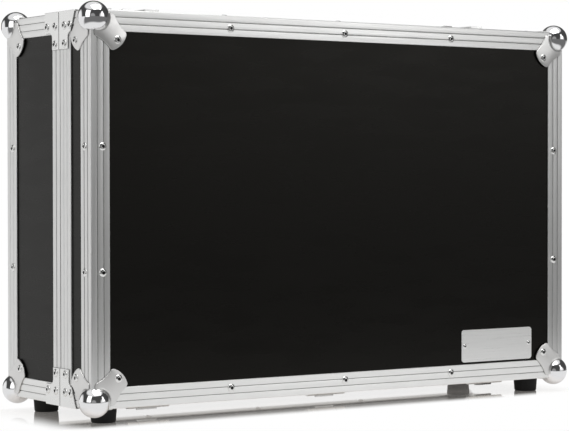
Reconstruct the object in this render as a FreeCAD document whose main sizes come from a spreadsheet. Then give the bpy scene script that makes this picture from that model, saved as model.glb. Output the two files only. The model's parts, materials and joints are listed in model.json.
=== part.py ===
import FreeCAD, Part
import math
import os
import types
import Sketcher

# Hard transport case for a board of effect pedals, in millimetres.
# It stands on four rubber feet, with its lid at the front. X runs along the long side, Y from the
# lid's face to the back panel, Z up. The origin is on the floor under the middle of the case.

V = FreeCAD.Vector
doc = FreeCAD.newDocument("pedal_case")
sheet = doc.addObject("Spreadsheet::Sheet", "Sizes")

SIZES = [
    # The closed case, over its edge angles, and where the lid parts from the base
    ("case_length", 682), ("case_depth", 202), ("case_height", 438),
    ("lid_depth", 71), ("seam_gap", 1.2), ("ply_thickness", 9.5), ("cut_overrun", 2),
    # Aluminium edge angles, and the narrow lines that part the flat bands of all the extrusions
    ("angle_leg", 23.5), ("angle_metal", 1.3), ("line_depth", 0.5), ("line_width", 1.1), ("line_taper", 0.5),
    # Tongue and groove rails round the two rims
    ("lid_rail_flange", 23.8), ("base_rail_flange", 17.2), ("rail_web", 5.6), ("rail_lip", 16),
    ("tongue_inset", 5), ("tongue_length", 3.6), ("tongue_thickness", 1.8),
    ("tongue_clearance", 0.8), ("groove_depth", 4.4),
    # Ball corners and the brackets beside the seam
    ("ball_radius", 17.5), ("ball_inset", 8), ("corner_metal", 1.4), ("corner_fold_end", 19),
    ("corner_notch", 4), ("corner_neck", 28.8), ("corner_tip_far", 45), ("corner_tip_near", 25.5),
    ("corner_side_radius", 45), ("corner_end_radius", 25), ("corner_hole_place", 33),
    ("corner_hole_radius", 2.3), ("bracket_metal", 1.4), ("bracket_arm_width", 22), ("bracket_drop", 41),
    ("bracket_notch_radius", 6), ("bracket_rivet_level", 15), ("bracket_drop_rivet", 35),
    ("lid_bracket_arm", 26.6), ("lid_bracket_slant", 10), ("lid_bracket_leg", 20),
    ("lid_bracket_near_rivet", 12), ("lid_bracket_far_rivet", 25),
    ("base_bracket_arm", 33), ("base_bracket_leg", 15.5),
    ("base_bracket_near_rivet", 9), ("base_bracket_far_rivet", 27.5),
    # Pop rivet heads
    ("rivet_radius", 4.6), ("rivet_crown_radius", 2.9), ("rivet_height", 1.7),
    ("rivet_line", 14.5), ("long_rivet_spacing", 160), ("upright_rivet_spacing", 138),
    # Feet and their screws
    ("foot_height", 18), ("foot_top_radius", 15), ("foot_bottom_radius", 13.8),
    ("foot_recess_radius", 6), ("foot_recess_depth", 7), ("screw_radius", 2), ("screw_clearance", 0.1),
    ("screw_head_radius", 4.6), ("screw_head_height", 2.6),
    # Foam lining
    ("base_pad_thickness", 20), ("lid_pad_thickness", 18), ("foam_wall", 22), ("foam_setback", 0.4),
    # Bare nameplate on the lid
    ("plate_width", 113), ("plate_height", 40), ("plate_metal", 1), ("plate_corner", 4),
    ("plate_from_right", 50.5), ("plate_from_bottom", 26), ("plate_rivet_inset", 5),
    ("plate_rivet_radius", 2.8), ("plate_rivet_crown", 1.9), ("plate_rivet_height", 0.7),
    # Hinges under the seam
    ("hinge_width", 55), ("hinge_from_end", 91), ("hinge_shift", 21), ("hinge_drop", 5.4), ("leaf_metal", 1.6),
    ("leaf_depth", 17.4), ("knuckle_radius", 4.8), ("knuckle_gap", 0.4), ("middle_knuckle", 27),
    ("hinge_pin_radius", 2.2), ("pin_clearance", 0.06), ("stop_reach", 6.6), ("stop_metal", 1.7),
    ("stop_gap", 0.05), ("open_angle", 95), ("leaf_rivet_place", 12), ("leaf_rivet_spacing", 18),
    # Butterfly latches: plate, cam, hook, wing and the catch on the lid
    ("latch_from_end", 104), ("latch_plate_width", 50), ("latch_plate_length", 52),
    ("latch_metal", 1.5), ("cam_place", 32), ("cam_radius", 5.5), ("cam_offset", 4.5),
    ("cam_top", 6.8), ("cam_head_radius", 8.2), ("cam_head_height", 0.9), ("journal_radius", 4),
    ("running_clearance", 0.06), ("thrust_gap", 0.1),
    ("hook_metal", 1.3), ("hook_height", 3.1), ("hook_lift", 2.2), ("hook_body_width", 30),
    ("hook_body_length", 22), ("hook_neck_width", 18), ("hook_corner", 3), ("hook_slack", 1.1),
    ("claw_reach", 17.5), ("claw_depth", 1.9),
    ("catch_width", 42), ("catch_length", 23), ("catch_metal", 1), ("catch_lip_height", 1.8),
    ("catch_lip_metal", 1.3), ("catch_lip_gap", 0.3), ("latch_rivet_inset", 6),
    ("wing_width", 36), ("wing_length", 18), ("wing_metal", 1.4), ("wing_axis_height", 9.1),
    ("wing_heel", 1.1), ("wing_shoulder", 5), ("wing_side_gap", 0.3), ("barrel_radius", 1.9),
    ("barrel_length", 12), ("trunnion_radius", 1), ("trunnion_length", 3.6),
    # Recessed carrying handle in the top of the base
    ("dish_length", 158), ("dish_margin", 1.85), ("dish_corner", 8), ("dish_metal", 1.2),
    ("tub_length", 134), ("dish_rim", 8), ("tub_depth", 11), ("tub_corner", 4), ("tub_clearance", 0.5),
    ("bail_arm_metal", 4), ("bail_eye_radius", 4.5), ("bail_side_gap", 1), ("bail_pivot_inset", 8),
    ("bail_pivot_depth", 6.3), ("bail_core_radius", 3.5), ("grip_inset", 13), ("grip_depth", 4),
    ("grip_radius", 8.5), ("grip_end_gap", 0.3), ("rod_radius", 2.5), ("dish_rivet_inset", 6),
]


class Length:
    """A size of the sheet, or a sum of sizes: its number now, and the text that an object is bound to."""

    def __init__(self, number, text):
        self.number = number
        self.text = text

    def __add__(self, other):
        return Length(self.number + number(other), "(" + self.text + " + " + text(other) + ")")

    def __sub__(self, other):
        return Length(self.number - number(other), "(" + self.text + " - " + text(other) + ")")

    def __rsub__(self, other):
        return Length(number(other) - self.number, "(" + text(other) + " - " + self.text + ")")

    def __mul__(self, share):
        return Length(self.number * share, "(" + self.text + " * " + text(share) + ")")

    def __truediv__(self, share):
        return Length(self.number / share, "(" + self.text + " / " + text(share) + ")")

    def __neg__(self):
        return self * -1

    __radd__ = __add__
    __rmul__ = __mul__


def number(value):
    return value.number if isinstance(value, Length) else value


def text(value):
    return value.text if isinstance(value, Length) else "(" + repr(value) + ")"


def fill_sheet():
    """Writes the sizes into the sheet, one alias a row, and returns them under their names."""
    for row, (alias, value) in enumerate(SIZES, start=1):
        sheet.set("A%d" % row, alias.replace("_", " "))
        sheet.set("B%d" % row, str(value))
        sheet.setAlias("B%d" % row, alias)
    doc.recompute()
    return types.SimpleNamespace(**{alias: Length(value, "Sizes." + alias) for alias, value in SIZES})


s = fill_sheet()

# Planes that the pieces share
LEFT = -s.case_length / 2
RIGHT = s.case_length / 2
FRONT = -s.case_depth / 2
BACK = s.case_depth / 2
BOTTOM = s.foot_height
TOP = s.foot_height + s.case_height
MIDDLE = s.foot_height + s.case_height / 2
SEAM = FRONT + s.lid_depth
LID_RIM = SEAM - s.seam_gap / 2
BASE_RIM = SEAM + s.seam_gap / 2
SKIN = s.line_depth + s.angle_metal
WALL = SKIN + s.ply_thickness

TO_FRONT = FreeCAD.Rotation(V(1, 0, 0), 90)
TO_BACK = FreeCAD.Rotation(V(1, 0, 0), -90)
TO_LEFT = FreeCAD.Rotation(V(0, 1, 0), -90)
TO_RIGHT = FreeCAD.Rotation(V(0, 1, 0), 90)
TO_TOP = FreeCAD.Rotation()
TO_BOTTOM = FreeCAD.Rotation(V(1, 0, 0), 180)
ALONG_X = TO_RIGHT

nodes = []


def bind(thing, name, value):
    """Ties one size of an object to the sheet, or sets a plain share or zero."""
    if isinstance(value, Length):
        thing.setExpression(name, value.text)
    else:
        setattr(thing, name, value)


def place(thing, spot, turn=None):
    """Turns an object, then ties its origin to a spot of the case."""
    thing.Placement = FreeCAD.Placement(V(*[number(value) for value in spot]), turn or FreeCAD.Rotation())
    for axis, value in zip("xyz", spot):
        if isinstance(value, Length):
            thing.setExpression("Placement.Base." + axis, value.text)
    return thing


def node(label, thing):
    """Names a finished sub-part, which is written to a file of that name."""
    thing.Label = label
    nodes.append(thing)
    return thing


def block(name, low, high):
    """A box between two corners."""
    box = doc.addObject("Part::Box", name)
    for size, start, end in zip(("Length", "Width", "Height"), low, high):
        bind(box, size, end - start)
    return place(box, low)


def rod(name, radius, length, spot, turn=None):
    """A round bar whose axis starts at a spot."""
    bar = doc.addObject("Part::Cylinder", name)
    bind(bar, "Radius", radius)
    bind(bar, "Height", length)
    return place(bar, spot, turn)


def frustum(name, low_radius, high_radius, height, spot, turn=None):
    """A tapered round piece that stands on a spot."""
    cone = doc.addObject("Part::Cone", name)
    bind(cone, "Radius1", low_radius)
    bind(cone, "Radius2", high_radius)
    bind(cone, "Height", height)
    return place(cone, spot, turn)


def join(name, pieces):
    fused = doc.addObject("Part::MultiFuse", name)
    fused.Shapes = pieces
    fused.Refine = True
    return fused


def group(name, pieces):
    compound = doc.addObject("Part::Compound", name)
    compound.Links = pieces
    return compound


def cut(name, stock, tools):
    """Takes one or more tools out of a piece."""
    trimmed = doc.addObject("Part::Cut", name)
    trimmed.Base = stock
    trimmed.Tool = tools[0] if len(tools) == 1 else group(name + "_tools", tools)
    return trimmed


def mirror(name, source, normal, base=(0, 0, 0)):
    """The same piece on the other side of a plane."""
    copy = doc.addObject("Part::Mirroring", name)
    copy.Source = source
    copy.Normal = V(*normal)
    for axis, value in zip("xyz", base):
        if isinstance(value, Length):
            copy.setExpression("Base." + axis, value.text)
    return copy


def both_ends(name, piece):
    return group(name, [piece, mirror(name + "_right", piece, (1, 0, 0))])


def top_and_bottom(name, piece):
    return group(name, [piece, mirror(name + "_high", piece, (0, 0, 1), (0, 0, MIDDLE))])


def four_corners(name, piece):
    """A corner piece and its copies at the other three corners of the same half."""
    right = mirror(name + "_right", piece, (1, 0, 0))
    high = mirror(name + "_high", piece, (0, 0, 1), (0, 0, MIDDLE))
    high_right = mirror(name + "_high_right", right, (0, 0, 1), (0, 0, MIDDLE))
    return group(name, [piece, right, high, high_right])


class Bend:
    """Between two points of an outline: the edge between them is an arc, bulging to its right or left."""

    def __init__(self, radius, to_right=True):
        self.radius = radius
        self.to_right = to_right


def arc_between(start, end, radius, to_right):
    """The shorter arc between two points, and whether it runs anticlockwise from the first."""
    chord = end - start
    reach = math.sqrt(max(radius * radius - chord.Length * chord.Length / 4, 0))
    side = V(-chord.y, chord.x, 0).normalize() * (1 if to_right else -1)
    centre = (start + end) / 2 + side * reach
    first, last = (start, end) if to_right else (end, start)
    angles = [math.atan2(point.y - centre.y, point.x - centre.x) for point in (first, last)]
    return Part.ArcOfCircle(Part.Circle(centre, V(0, 0, 1), radius), angles[0], angles[1]), to_right


def draw(sketch, outline):
    """Draws one closed outline whose corners are tied to the sheet."""
    corners = [item for item in outline if not isinstance(item, Bend)]
    bends = {}
    for index, item in enumerate(outline):
        if isinstance(item, Bend):
            bends[len([one for one in outline[:index] if not isinstance(one, Bend)]) - 1] = item
    spots = [V(number(x), number(y), 0) for x, y in corners]
    edges = []
    for index, spot in enumerate(spots):
        following = spots[(index + 1) % len(spots)]
        if index in bends:
            radius = number(bends[index].radius)
            curve, forward = arc_between(spot, following, radius, bends[index].to_right)
            edge = sketch.addGeometry(curve, False)
            hold = sketch.addConstraint(Sketcher.Constraint("Radius", edge, radius))
            if isinstance(bends[index].radius, Length):
                sketch.setExpression("Constraints[%d]" % hold, bends[index].radius.text)
            edges.append((edge, 1, 2) if forward else (edge, 2, 1))
        else:
            edges.append((sketch.addGeometry(Part.LineSegment(spot, following), False), 1, 2))
    for (edge, start, end), (following, its_start, its_end) in zip(edges, edges[1:] + edges[:1]):
        sketch.addConstraint(Sketcher.Constraint("Coincident", edge, end, following, its_start))
    for (edge, start, end), corner in zip(edges, corners):
        for kind, value in zip(("DistanceX", "DistanceY"), corner):
            hold = sketch.addConstraint(Sketcher.Constraint(kind, -1, 1, edge, start, number(value)))
            if isinstance(value, Length):
                sketch.setExpression("Constraints[%d]" % hold, value.text)


def draw_circle(sketch, x, y, radius):
    """Draws a round hole tied to the sheet."""
    circle = Part.Circle(V(number(x), number(y), 0), V(0, 0, 1), number(radius))
    ring = sketch.addGeometry(circle, False)
    for kind, value in (("DistanceX", x), ("DistanceY", y)):
        hold = sketch.addConstraint(Sketcher.Constraint(kind, -1, 1, ring, 3, number(value)))
        if isinstance(value, Length):
            sketch.setExpression("Constraints[%d]" % hold, value.text)
    hold = sketch.addConstraint(Sketcher.Constraint("Radius", ring, number(radius)))
    sketch.setExpression("Constraints[%d]" % hold, radius.text)


def new_sketch(body, name, plane, offset=0):
    """A sketch on one of the body's own planes, moved along the plane's normal."""
    sketch = body.newObject("Sketcher::SketchObject", name)
    support = [one for one in body.Origin.OriginFeatures if one.Role == plane + "_Plane"][0]
    sketch.AttachmentSupport = [(support, "")]
    sketch.MapMode = "FlatFace"
    if isinstance(offset, Length):
        sketch.setExpression("AttachmentOffset.Base.z", offset.text)
    return sketch


def prism(name, plane, outlines, low, high, holes=()):
    """A body with one padded sketch, between two distances along the axis square to its plane."""
    body = doc.addObject("PartDesign::Body", name)
    sketch = new_sketch(body, name + "_outline", plane, -high if plane == "XZ" else low)
    for outline in outlines:
        draw(sketch, outline)
    for x, y, radius in holes:
        draw_circle(sketch, x, y, radius)
    pad = body.newObject("PartDesign::Pad", name + "_pad")
    pad.Profile = sketch
    bind(pad, "Length", high - low)
    return body


def pocket(body, name, plane, outlines, up):
    """Cuts outlines right through a body, up from their plane or down."""
    sketch = new_sketch(body, name + "_outline", plane)
    for outline in outlines:
        draw(sketch, outline)
    through = body.newObject("PartDesign::Pocket", name)
    through.Profile = sketch
    through.Type = "ThroughAll"
    through.Reversed = up


def rounded(centre_x, centre_y, half_x, half_y, radius):
    """A rectangle with rounded corners, anticlockwise."""
    low_x, high_x = centre_x - half_x, centre_x + half_x
    low_y, high_y = centre_y - half_y, centre_y + half_y
    return [(low_x + radius, low_y), (high_x - radius, low_y), Bend(radius),
            (high_x, low_y + radius), (high_x, high_y - radius), Bend(radius),
            (high_x - radius, high_y), (low_x + radius, high_y), Bend(radius),
            (low_x, high_y - radius), (low_x, low_y + radius), Bend(radius)]


# Plywood panels. Each half is a tray: a face panel with four walls butted behind it, and the walls
# end against the web of the rim's rail. Their laminate faces lie under the edge angles.

def tray(half, face, toward, rim, holes):
    """The five panels of one half. face is its outer plane, and toward is 1 where depth grows along +Y."""
    def span(start, end):
        first, last = face + start * toward, face + end * toward
        return (first, last) if toward == 1 else (last, first)

    depth = (rim - face) * toward
    panel_low, panel_high = span(SKIN, WALL)
    wall_low, wall_high = span(WALL, depth - s.rail_web)
    panel = "front" if half == "lid" else "back"
    start, end = LEFT + SKIN, RIGHT - SKIN
    node(half + "_" + panel + "_panel",
         block(half + "_panel", (start, panel_low, BOTTOM + SKIN), (end, panel_high, TOP - SKIN)))
    low = block(half + "_low_stock", (start, wall_low, BOTTOM + SKIN), (end, wall_high, BOTTOM + WALL))
    node(half + "_bottom_wall", cut(half + "_low", low, holes))
    high = block(half + "_high", (start, wall_low, TOP - WALL), (end, wall_high, TOP - SKIN))
    left = block(half + "_left", (start, wall_low, BOTTOM + WALL), (LEFT + WALL, wall_high, TOP - WALL))
    node(half + "_left_wall", left)
    node(half + "_right_wall", mirror(half + "_right", left, (1, 0, 0)))
    return high


def foot_screw_holes(half, spot_y):
    """Clearance holes for the foot screws through a bottom wall."""
    radius = s.screw_radius + s.screw_clearance
    return [rod("%s_foot_hole_%d" % (half, side), radius, WALL + s.cut_overrun,
                (RIGHT * side - s.corner_hole_place * side, spot_y, BOTTOM)) for side in (-1, 1)]


lid_foot_y = FRONT + s.corner_hole_place
base_foot_y = BACK - s.corner_hole_place
node("lid_top_wall", tray("lid", FRONT, 1, LID_RIM, foot_screw_holes("lid", lid_foot_y)))
base_high = tray("base", BACK, -1, BASE_RIM, foot_screw_holes("base", base_foot_y))

# The handle's dish fills the base's top wall between the rail and the back angle
dish_low_y = BASE_RIM + s.base_rail_flange + s.dish_margin
dish_high_y = BACK - s.angle_leg - s.dish_margin
dish_y = (dish_low_y + dish_high_y) / 2
tub_half_x = s.tub_length / 2
tub_half_y = (dish_high_y - dish_low_y) / 2 - s.dish_rim
hole_half_x = tub_half_x + s.dish_metal + s.tub_clearance
hole_half_y = tub_half_y + s.dish_metal + s.tub_clearance
tub_hole = block("tub_hole", (-hole_half_x, dish_y - hole_half_y, TOP - WALL - s.cut_overrun),
                 (hole_half_x, dish_y + hole_half_y, TOP))
node("base_top_wall", cut("base_top", base_high, [tub_hole]))


# Aluminium extrusions. Both kinds have flat bands along their outer faces, parted by narrow lines, and
# the bands are the outermost planes of the case.

def lines(flange, bands, swap=False):
    """The outer side of a flange: points of the lines that part its even bands, with tapered flanks."""
    half = s.line_width / 2
    points = []
    for index in range(1, bands):
        middle = flange * (index / bands)
        points += [(middle - half - s.line_taper, 0), (middle - half, s.line_depth),
                   (middle + half, s.line_depth), (middle + half + s.line_taper, 0)]
    return [(y, x) for x, y in reversed(points)] if swap else points


def miter(length, reach, far_end):
    """Triangles that trim the ends of an extrusion at 45 degrees, seen square to one flange."""
    over = s.cut_overrun
    triangles = [[(-over, -over), (reach, reach), (-over, reach)]]
    if far_end:
        triangles.append([(length + over, -over), (length + over, reach), (length - reach, reach)])
    return triangles


def edge_angle(name, length, far_end=True):
    """An angle of three bands a leg along local X, its outer corner on the axis and its legs along +Y and +Z."""
    inner = SKIN
    leg = s.angle_leg
    profile = [(0, 0)] + lines(leg, 3) + [(leg, 0), (leg, inner), (inner, inner), (inner, leg), (0, leg)]
    profile += lines(leg, 3, swap=True)
    body = prism(name, "YZ", [profile], 0 * length, length)
    reach = leg + s.cut_overrun
    pocket(body, name + "_miter_front", "XZ", miter(length, reach, far_end), False)
    pocket(body, name + "_miter_under", "XY", miter(length, reach, far_end), True)
    return body


# Along local X of an extrusion, as it stands at the low left corner of the lid's face
UPRIGHT = FreeCAD.Rotation(V(0, 0, 1), V(1, 0, 0), V(0, 1, 0), "XYZ")
INWARD = FreeCAD.Rotation(V(0, 1, 0), V(0, 0, 1), V(1, 0, 0), "XYZ")

long_angle = place(edge_angle("long_angle", s.case_length), (LEFT, FRONT, BOTTOM))
lid_long_angles = node("lid_long_edge_angles", top_and_bottom("lid_long_angles", long_angle))
node("base_long_edge_angles", mirror("base_long_angles", lid_long_angles, (0, 1, 0)))

upright_angle = place(edge_angle("upright_angle", s.case_height), (LEFT, FRONT, BOTTOM), UPRIGHT)
lid_upright_angles = node("lid_upright_edge_angles", both_ends("lid_upright_angles", upright_angle))
node("base_upright_edge_angles", mirror("base_upright_angles", lid_upright_angles, (0, 1, 0)))

lid_depth_length = LID_RIM - s.lid_rail_flange - FRONT
lid_depth_angle = place(edge_angle("lid_depth_angle", lid_depth_length, False), (LEFT, FRONT, BOTTOM), INWARD)
node("lid_depth_edge_angles", four_corners("lid_depth_angles", lid_depth_angle))

base_depth_length = BACK - BASE_RIM - s.base_rail_flange
base_depth_angle = place(edge_angle("base_depth_angle", base_depth_length, False), (LEFT, FRONT, BOTTOM), INWARD)
base_depth_front = four_corners("base_depth_angles", base_depth_angle)
node("base_depth_edge_angles", mirror("base_depth_angles_back", base_depth_front, (0, 1, 0)))


def rim_rail(name, length, flange, bands, tongued):
    """A rim rail along local X: local Y runs into its half from the rim, local Z inward from the face."""
    lip = WALL + s.angle_metal
    start = s.tongue_inset
    end = s.tongue_inset + s.tongue_thickness
    if tongued:
        joint = [(0, end), (-s.tongue_length, end), (-s.tongue_length, start), (0, start)]
    else:
        start = start - s.tongue_clearance
        end = end + s.tongue_clearance
        joint = [(0, end), (s.groove_depth, end), (s.groove_depth, start), (0, start)]
    profile = [(0, 0)] + lines(flange, bands) + [(flange, 0), (flange, SKIN), (s.rail_web, SKIN)]
    profile += [(s.rail_web, WALL), (s.rail_lip, WALL), (s.rail_lip, lip), (0, lip)] + joint
    body = prism(name, "YZ", [profile], 0 * length, length)
    pocket(body, name + "_miter", "XZ", miter(length, lip + s.cut_overrun, True), False)
    sketch = body.Tip.Profile[0]
    sketch.setExpression("AttachmentOffset.Base.z", (s.tongue_length + s.cut_overrun).text)
    return body


HALF_TURN = FreeCAD.Rotation(V(0, 0, 1), 180)
LID_UPRIGHT = FreeCAD.Rotation(V(0, 0, 1), V(0, -1, 0), V(1, 0, 0), "XYZ")
BASE_UPRIGHT = FreeCAD.Rotation(V(0, 0, -1), V(0, 1, 0), V(1, 0, 0), "XYZ")

lid_long_rail = place(rim_rail("lid_long_rail", s.case_length, s.lid_rail_flange, 3, False),
                      (RIGHT, LID_RIM, BOTTOM), HALF_TURN)
node("lid_long_groove_rails", top_and_bottom("lid_long_rails", lid_long_rail))
lid_end_rail = place(rim_rail("lid_end_rail", s.case_height, s.lid_rail_flange, 3, False),
                     (LEFT, LID_RIM, BOTTOM), LID_UPRIGHT)
node("lid_upright_groove_rails", both_ends("lid_end_rails", lid_end_rail))
base_long_rail = place(rim_rail("base_long_rail", s.case_length, s.base_rail_flange, 2, True),
                       (LEFT, BASE_RIM, BOTTOM))
node("base_long_tongue_rails", top_and_bottom("base_long_rails", base_long_rail))
base_end_rail = place(rim_rail("base_end_rail", s.case_height, s.base_rail_flange, 2, True),
                      (LEFT, BASE_RIM, TOP), BASE_UPRIGHT)
node("base_upright_tongue_rails", both_ends("base_end_rails", base_end_rail))


# Ball corners: a pressed ball over the corner of the case, with a fan-shaped leg on each of three faces.
# Beyond the ball a notch parts each two legs along their fold.

def fan_leg(name):
    """One leg on the front face, from its two folds outward, with the hole for its rivet or screw."""
    near, far = s.corner_tip_near, s.corner_tip_far
    neck, notch = s.corner_neck, s.corner_notch
    fold, fold_end = -s.corner_metal, s.corner_fold_end
    flank = Bend(s.corner_side_radius, to_right=False)
    fan = [(fold, fold), (fold_end, fold), (fold_end, notch), (neck, notch), flank, (far, near),
           Bend(s.corner_end_radius), (near, far), flank, (notch, neck), (notch, fold_end), (fold, fold_end)]
    hole = (s.corner_hole_place, s.corner_hole_place, s.corner_hole_radius)
    return prism(name, "XZ", [fan], fold, 0 * fold, [hole])


def ball_corner():
    """The corner piece at the low left corner of the lid's face."""
    ball = doc.addObject("Part::Sphere", "corner_ball")
    bind(ball, "Radius", s.ball_radius)
    place(ball, (s.ball_inset, s.ball_inset, s.ball_inset))
    front_leg = fan_leg("corner_leg")
    under_leg = mirror("corner_leg_under", front_leg, (0, 1, -1))
    end_leg = mirror("corner_leg_end", front_leg, (1, -1, 0))
    seat = s.corner_tip_far + s.cut_overrun
    corner_of_case = block("corner_of_case", (0 * seat, 0 * seat, 0 * seat), (seat, seat, seat))
    shell = cut("corner_shell", join("corner_solid", [ball, front_leg, under_leg, end_leg]), [corner_of_case])
    return place(shell, (LEFT, FRONT, BOTTOM))


lid_corners = node("lid_ball_corners", four_corners("lid_corners", ball_corner()))
node("base_ball_corners", mirror("base_corners", lid_corners, (0, 1, 0)))


# Seam brackets: an L-shaped plate on the end face and one on the top or bottom face, folded from one
# sheet round the long corner of the case, on each side of the seam

def seam_bracket(name, rim, toward, arm, leg, slant):
    """The bracket at the low left corner of a half. toward is 1 where that half lies along +Y of its rim."""
    arm_end = rim + arm * toward
    leg_side = rim + leg * toward
    round_off = s.bracket_notch_radius
    plate = [(rim, -s.bracket_metal), (arm_end + slant * toward, -s.bracket_metal),
             (arm_end, s.bracket_arm_width),
             (leg_side + round_off * toward, s.bracket_arm_width), Bend(round_off, to_right=toward == -1),
             (leg_side, s.bracket_arm_width + round_off), (leg_side, s.bracket_drop), (rim, s.bracket_drop)]
    end_plate = prism(name + "_end", "YZ", [plate], -s.bracket_metal, 0 * s.bracket_metal)
    under_plate = mirror(name + "_under", end_plate, (1, 0, -1))
    return place(join(name, [end_plate, under_plate]), (LEFT, 0, BOTTOM))


lid_bracket = seam_bracket("lid_bracket", LID_RIM, -1, s.lid_bracket_arm, s.lid_bracket_leg,
                           s.lid_bracket_slant)
base_bracket = seam_bracket("base_bracket", BASE_RIM, 1, s.base_bracket_arm, s.base_bracket_leg, 0)
node("lid_seam_brackets", four_corners("lid_brackets", lid_bracket))
node("base_seam_brackets", four_corners("base_brackets", base_bracket))


# Pop rivets through the extrusions, brackets and corner legs: the heads that show outside

rivet_count = 0


def rivet(spot, turn, radius=s.rivet_radius, crown=s.rivet_crown_radius, height=s.rivet_height):
    global rivet_count
    rivet_count += 1
    return frustum("rivet_%03d" % rivet_count, radius, crown, height, spot, turn)


def face_rivets(face_y, turn):
    """Rivets along the four edge angles of the front or back face."""
    heads = []
    for z in (BOTTOM + s.rivet_line, TOP - s.rivet_line):
        heads += [rivet((s.long_rivet_spacing * step, face_y, z), turn) for step in (-1, 0, 1)]
    for x in (LEFT + s.rivet_line, RIGHT - s.rivet_line):
        heads += [rivet((x, face_y, MIDDLE + s.upright_rivet_spacing / 2 * step), turn) for step in (-1, 1)]
    return heads


def side_rivets(y):
    """Rivets in the same angles' other legs, on the ends, the top and the bottom."""
    heads = []
    for step in (-1, 1):
        z = MIDDLE + s.upright_rivet_spacing / 2 * step
        heads += [rivet((LEFT, y, z), TO_LEFT), rivet((RIGHT, y, z), TO_RIGHT)]
    for step in (-1, 0, 1):
        x = s.long_rivet_spacing * step
        heads += [rivet((x, y, TOP), TO_TOP), rivet((x, y, BOTTOM), TO_BOTTOM)]
    return heads


def bracket_rivets(rim, toward, near, far):
    """Three rivets in each face of the four seam brackets of a half."""
    plate = s.bracket_metal
    places = [(near, s.bracket_rivet_level), (far, s.bracket_rivet_level), (near, s.bracket_drop_rivet)]
    heads = []
    for along, away in places:
        y = rim + along * toward
        for z in (BOTTOM + away, TOP - away):
            heads += [rivet((LEFT - plate, y, z), TO_LEFT), rivet((RIGHT + plate, y, z), TO_RIGHT)]
        for x in (LEFT + away, RIGHT - away):
            heads += [rivet((x, y, BOTTOM - plate), TO_BOTTOM), rivet((x, y, TOP + plate), TO_TOP)]
    return heads


def corner_rivets(face_y, turn, toward):
    """Rivets in the legs of a half's four ball corners. The feet's screws hold the legs underneath."""
    hole, plate = s.corner_hole_place, s.corner_metal
    leg_y = face_y + hole * toward
    heads = []
    ends = ((LEFT + hole, LEFT - plate, TO_LEFT), (RIGHT - hole, RIGHT + plate, TO_RIGHT))
    for x, end_x, end_turn in ends:
        heads.append(rivet((x, leg_y, TOP + plate), TO_TOP))
        for z in (BOTTOM + hole, TOP - hole):
            heads += [rivet((x, face_y - plate * toward, z), turn), rivet((end_x, leg_y, z), end_turn)]
    return heads


lid_heads = face_rivets(FRONT, TO_FRONT) + side_rivets(FRONT + s.rivet_line)
lid_heads += bracket_rivets(LID_RIM, -1, s.lid_bracket_near_rivet, s.lid_bracket_far_rivet)
lid_heads += corner_rivets(FRONT, TO_FRONT, 1)
node("lid_rivets", group("lid_rivet_heads", lid_heads))
base_heads = face_rivets(BACK, TO_BACK) + side_rivets(BACK - s.rivet_line)
base_heads += bracket_rivets(BASE_RIM, 1, s.base_bracket_near_rivet, s.base_bracket_far_rivet)
base_heads += corner_rivets(BACK, TO_BACK, -1)
node("base_rivets", group("base_rivet_heads", base_heads))


# Rubber feet under the lower legs of the ball corners, each held by one screw in a deep recess

def feet(half, spot_y):
    rubber, screws = [], []
    top_of_foot = BOTTOM - s.corner_metal
    for side in (-1, 1):
        name = "%s_foot_%d" % (half, side)
        x = RIGHT * side - s.corner_hole_place * side
        stock = frustum(name + "_stock", s.foot_bottom_radius, s.foot_top_radius, top_of_foot, (x, spot_y, 0))
        recess = rod(name + "_recess", s.foot_recess_radius, s.foot_recess_depth, (x, spot_y, 0))
        bore = rod(name + "_bore", s.screw_radius + s.screw_clearance, top_of_foot, (x, spot_y, 0))
        rubber.append(cut(name, stock, [join(name + "_hollow", [recess, bore])]))
        head_low = s.foot_recess_depth - s.screw_head_height
        head = rod(name + "_screw_head", s.screw_head_radius, s.screw_head_height, (x, spot_y, head_low))
        shank = rod(name + "_screw_shank", s.screw_radius, BOTTOM + WALL - s.foot_recess_depth,
                    (x, spot_y, s.foot_recess_depth))
        screws.append(join(name + "_screw", [head, shank]))
    node(half + "_feet", group(half + "_foot_pair", rubber))
    node(half + "_foot_screws", group(half + "_foot_screw_pair", screws))


feet("lid", lid_foot_y)
feet("base", base_foot_y)


# Foam lining: a flat pad on the inside of each face panel, and a foam wall round it

def foam(half, low_y, high_y, pad_thickness, face_side, tub=None):
    """The pad lies at low_y where face_side is 1, and at high_y where it is -1."""
    left, right = LEFT + WALL, RIGHT - WALL
    low, high = BOTTOM + WALL, TOP - WALL
    if face_side == 1:
        pad_span, wall_span = (low_y, low_y + pad_thickness), (low_y + pad_thickness, high_y)
    else:
        pad_span, wall_span = (high_y - pad_thickness, high_y), (low_y, high_y - pad_thickness)
    node(half + "_foam_pad", block(half + "_pad", (left, pad_span[0], low), (right, pad_span[1], high)))
    first, last = wall_span
    under = block(half + "_foam_low", (left, first, low), (right, last, low + s.foam_wall))
    over = block(half + "_foam_high", (left, first, high - s.foam_wall), (right, last, high))
    if tub:
        over = cut(half + "_foam_top", over, [tub])
    inset = s.foam_wall + s.foam_setback
    end = block(half + "_foam_left", (left, first, low + inset), (left + s.foam_wall, last, high - inset))
    other_end = mirror(half + "_foam_right", end, (1, 0, 0))
    node(half + "_foam_walls", group(half + "_foam_strips", [under, over, end, other_end]))


foam("lid", FRONT + WALL, LID_RIM - s.rail_lip - s.foam_setback, s.lid_pad_thickness, 1)
tub_bottom = TOP - SKIN - s.tub_depth - s.dish_metal
tub_hollow = block("tub_hollow", (-hole_half_x, dish_y - hole_half_y, tub_bottom - s.tub_clearance),
                   (hole_half_x, BACK - WALL - s.base_pad_thickness, TOP))
foam("base", BASE_RIM + s.rail_lip + s.foam_setback, BACK - WALL, s.base_pad_thickness, -1, tub_hollow)

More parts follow.
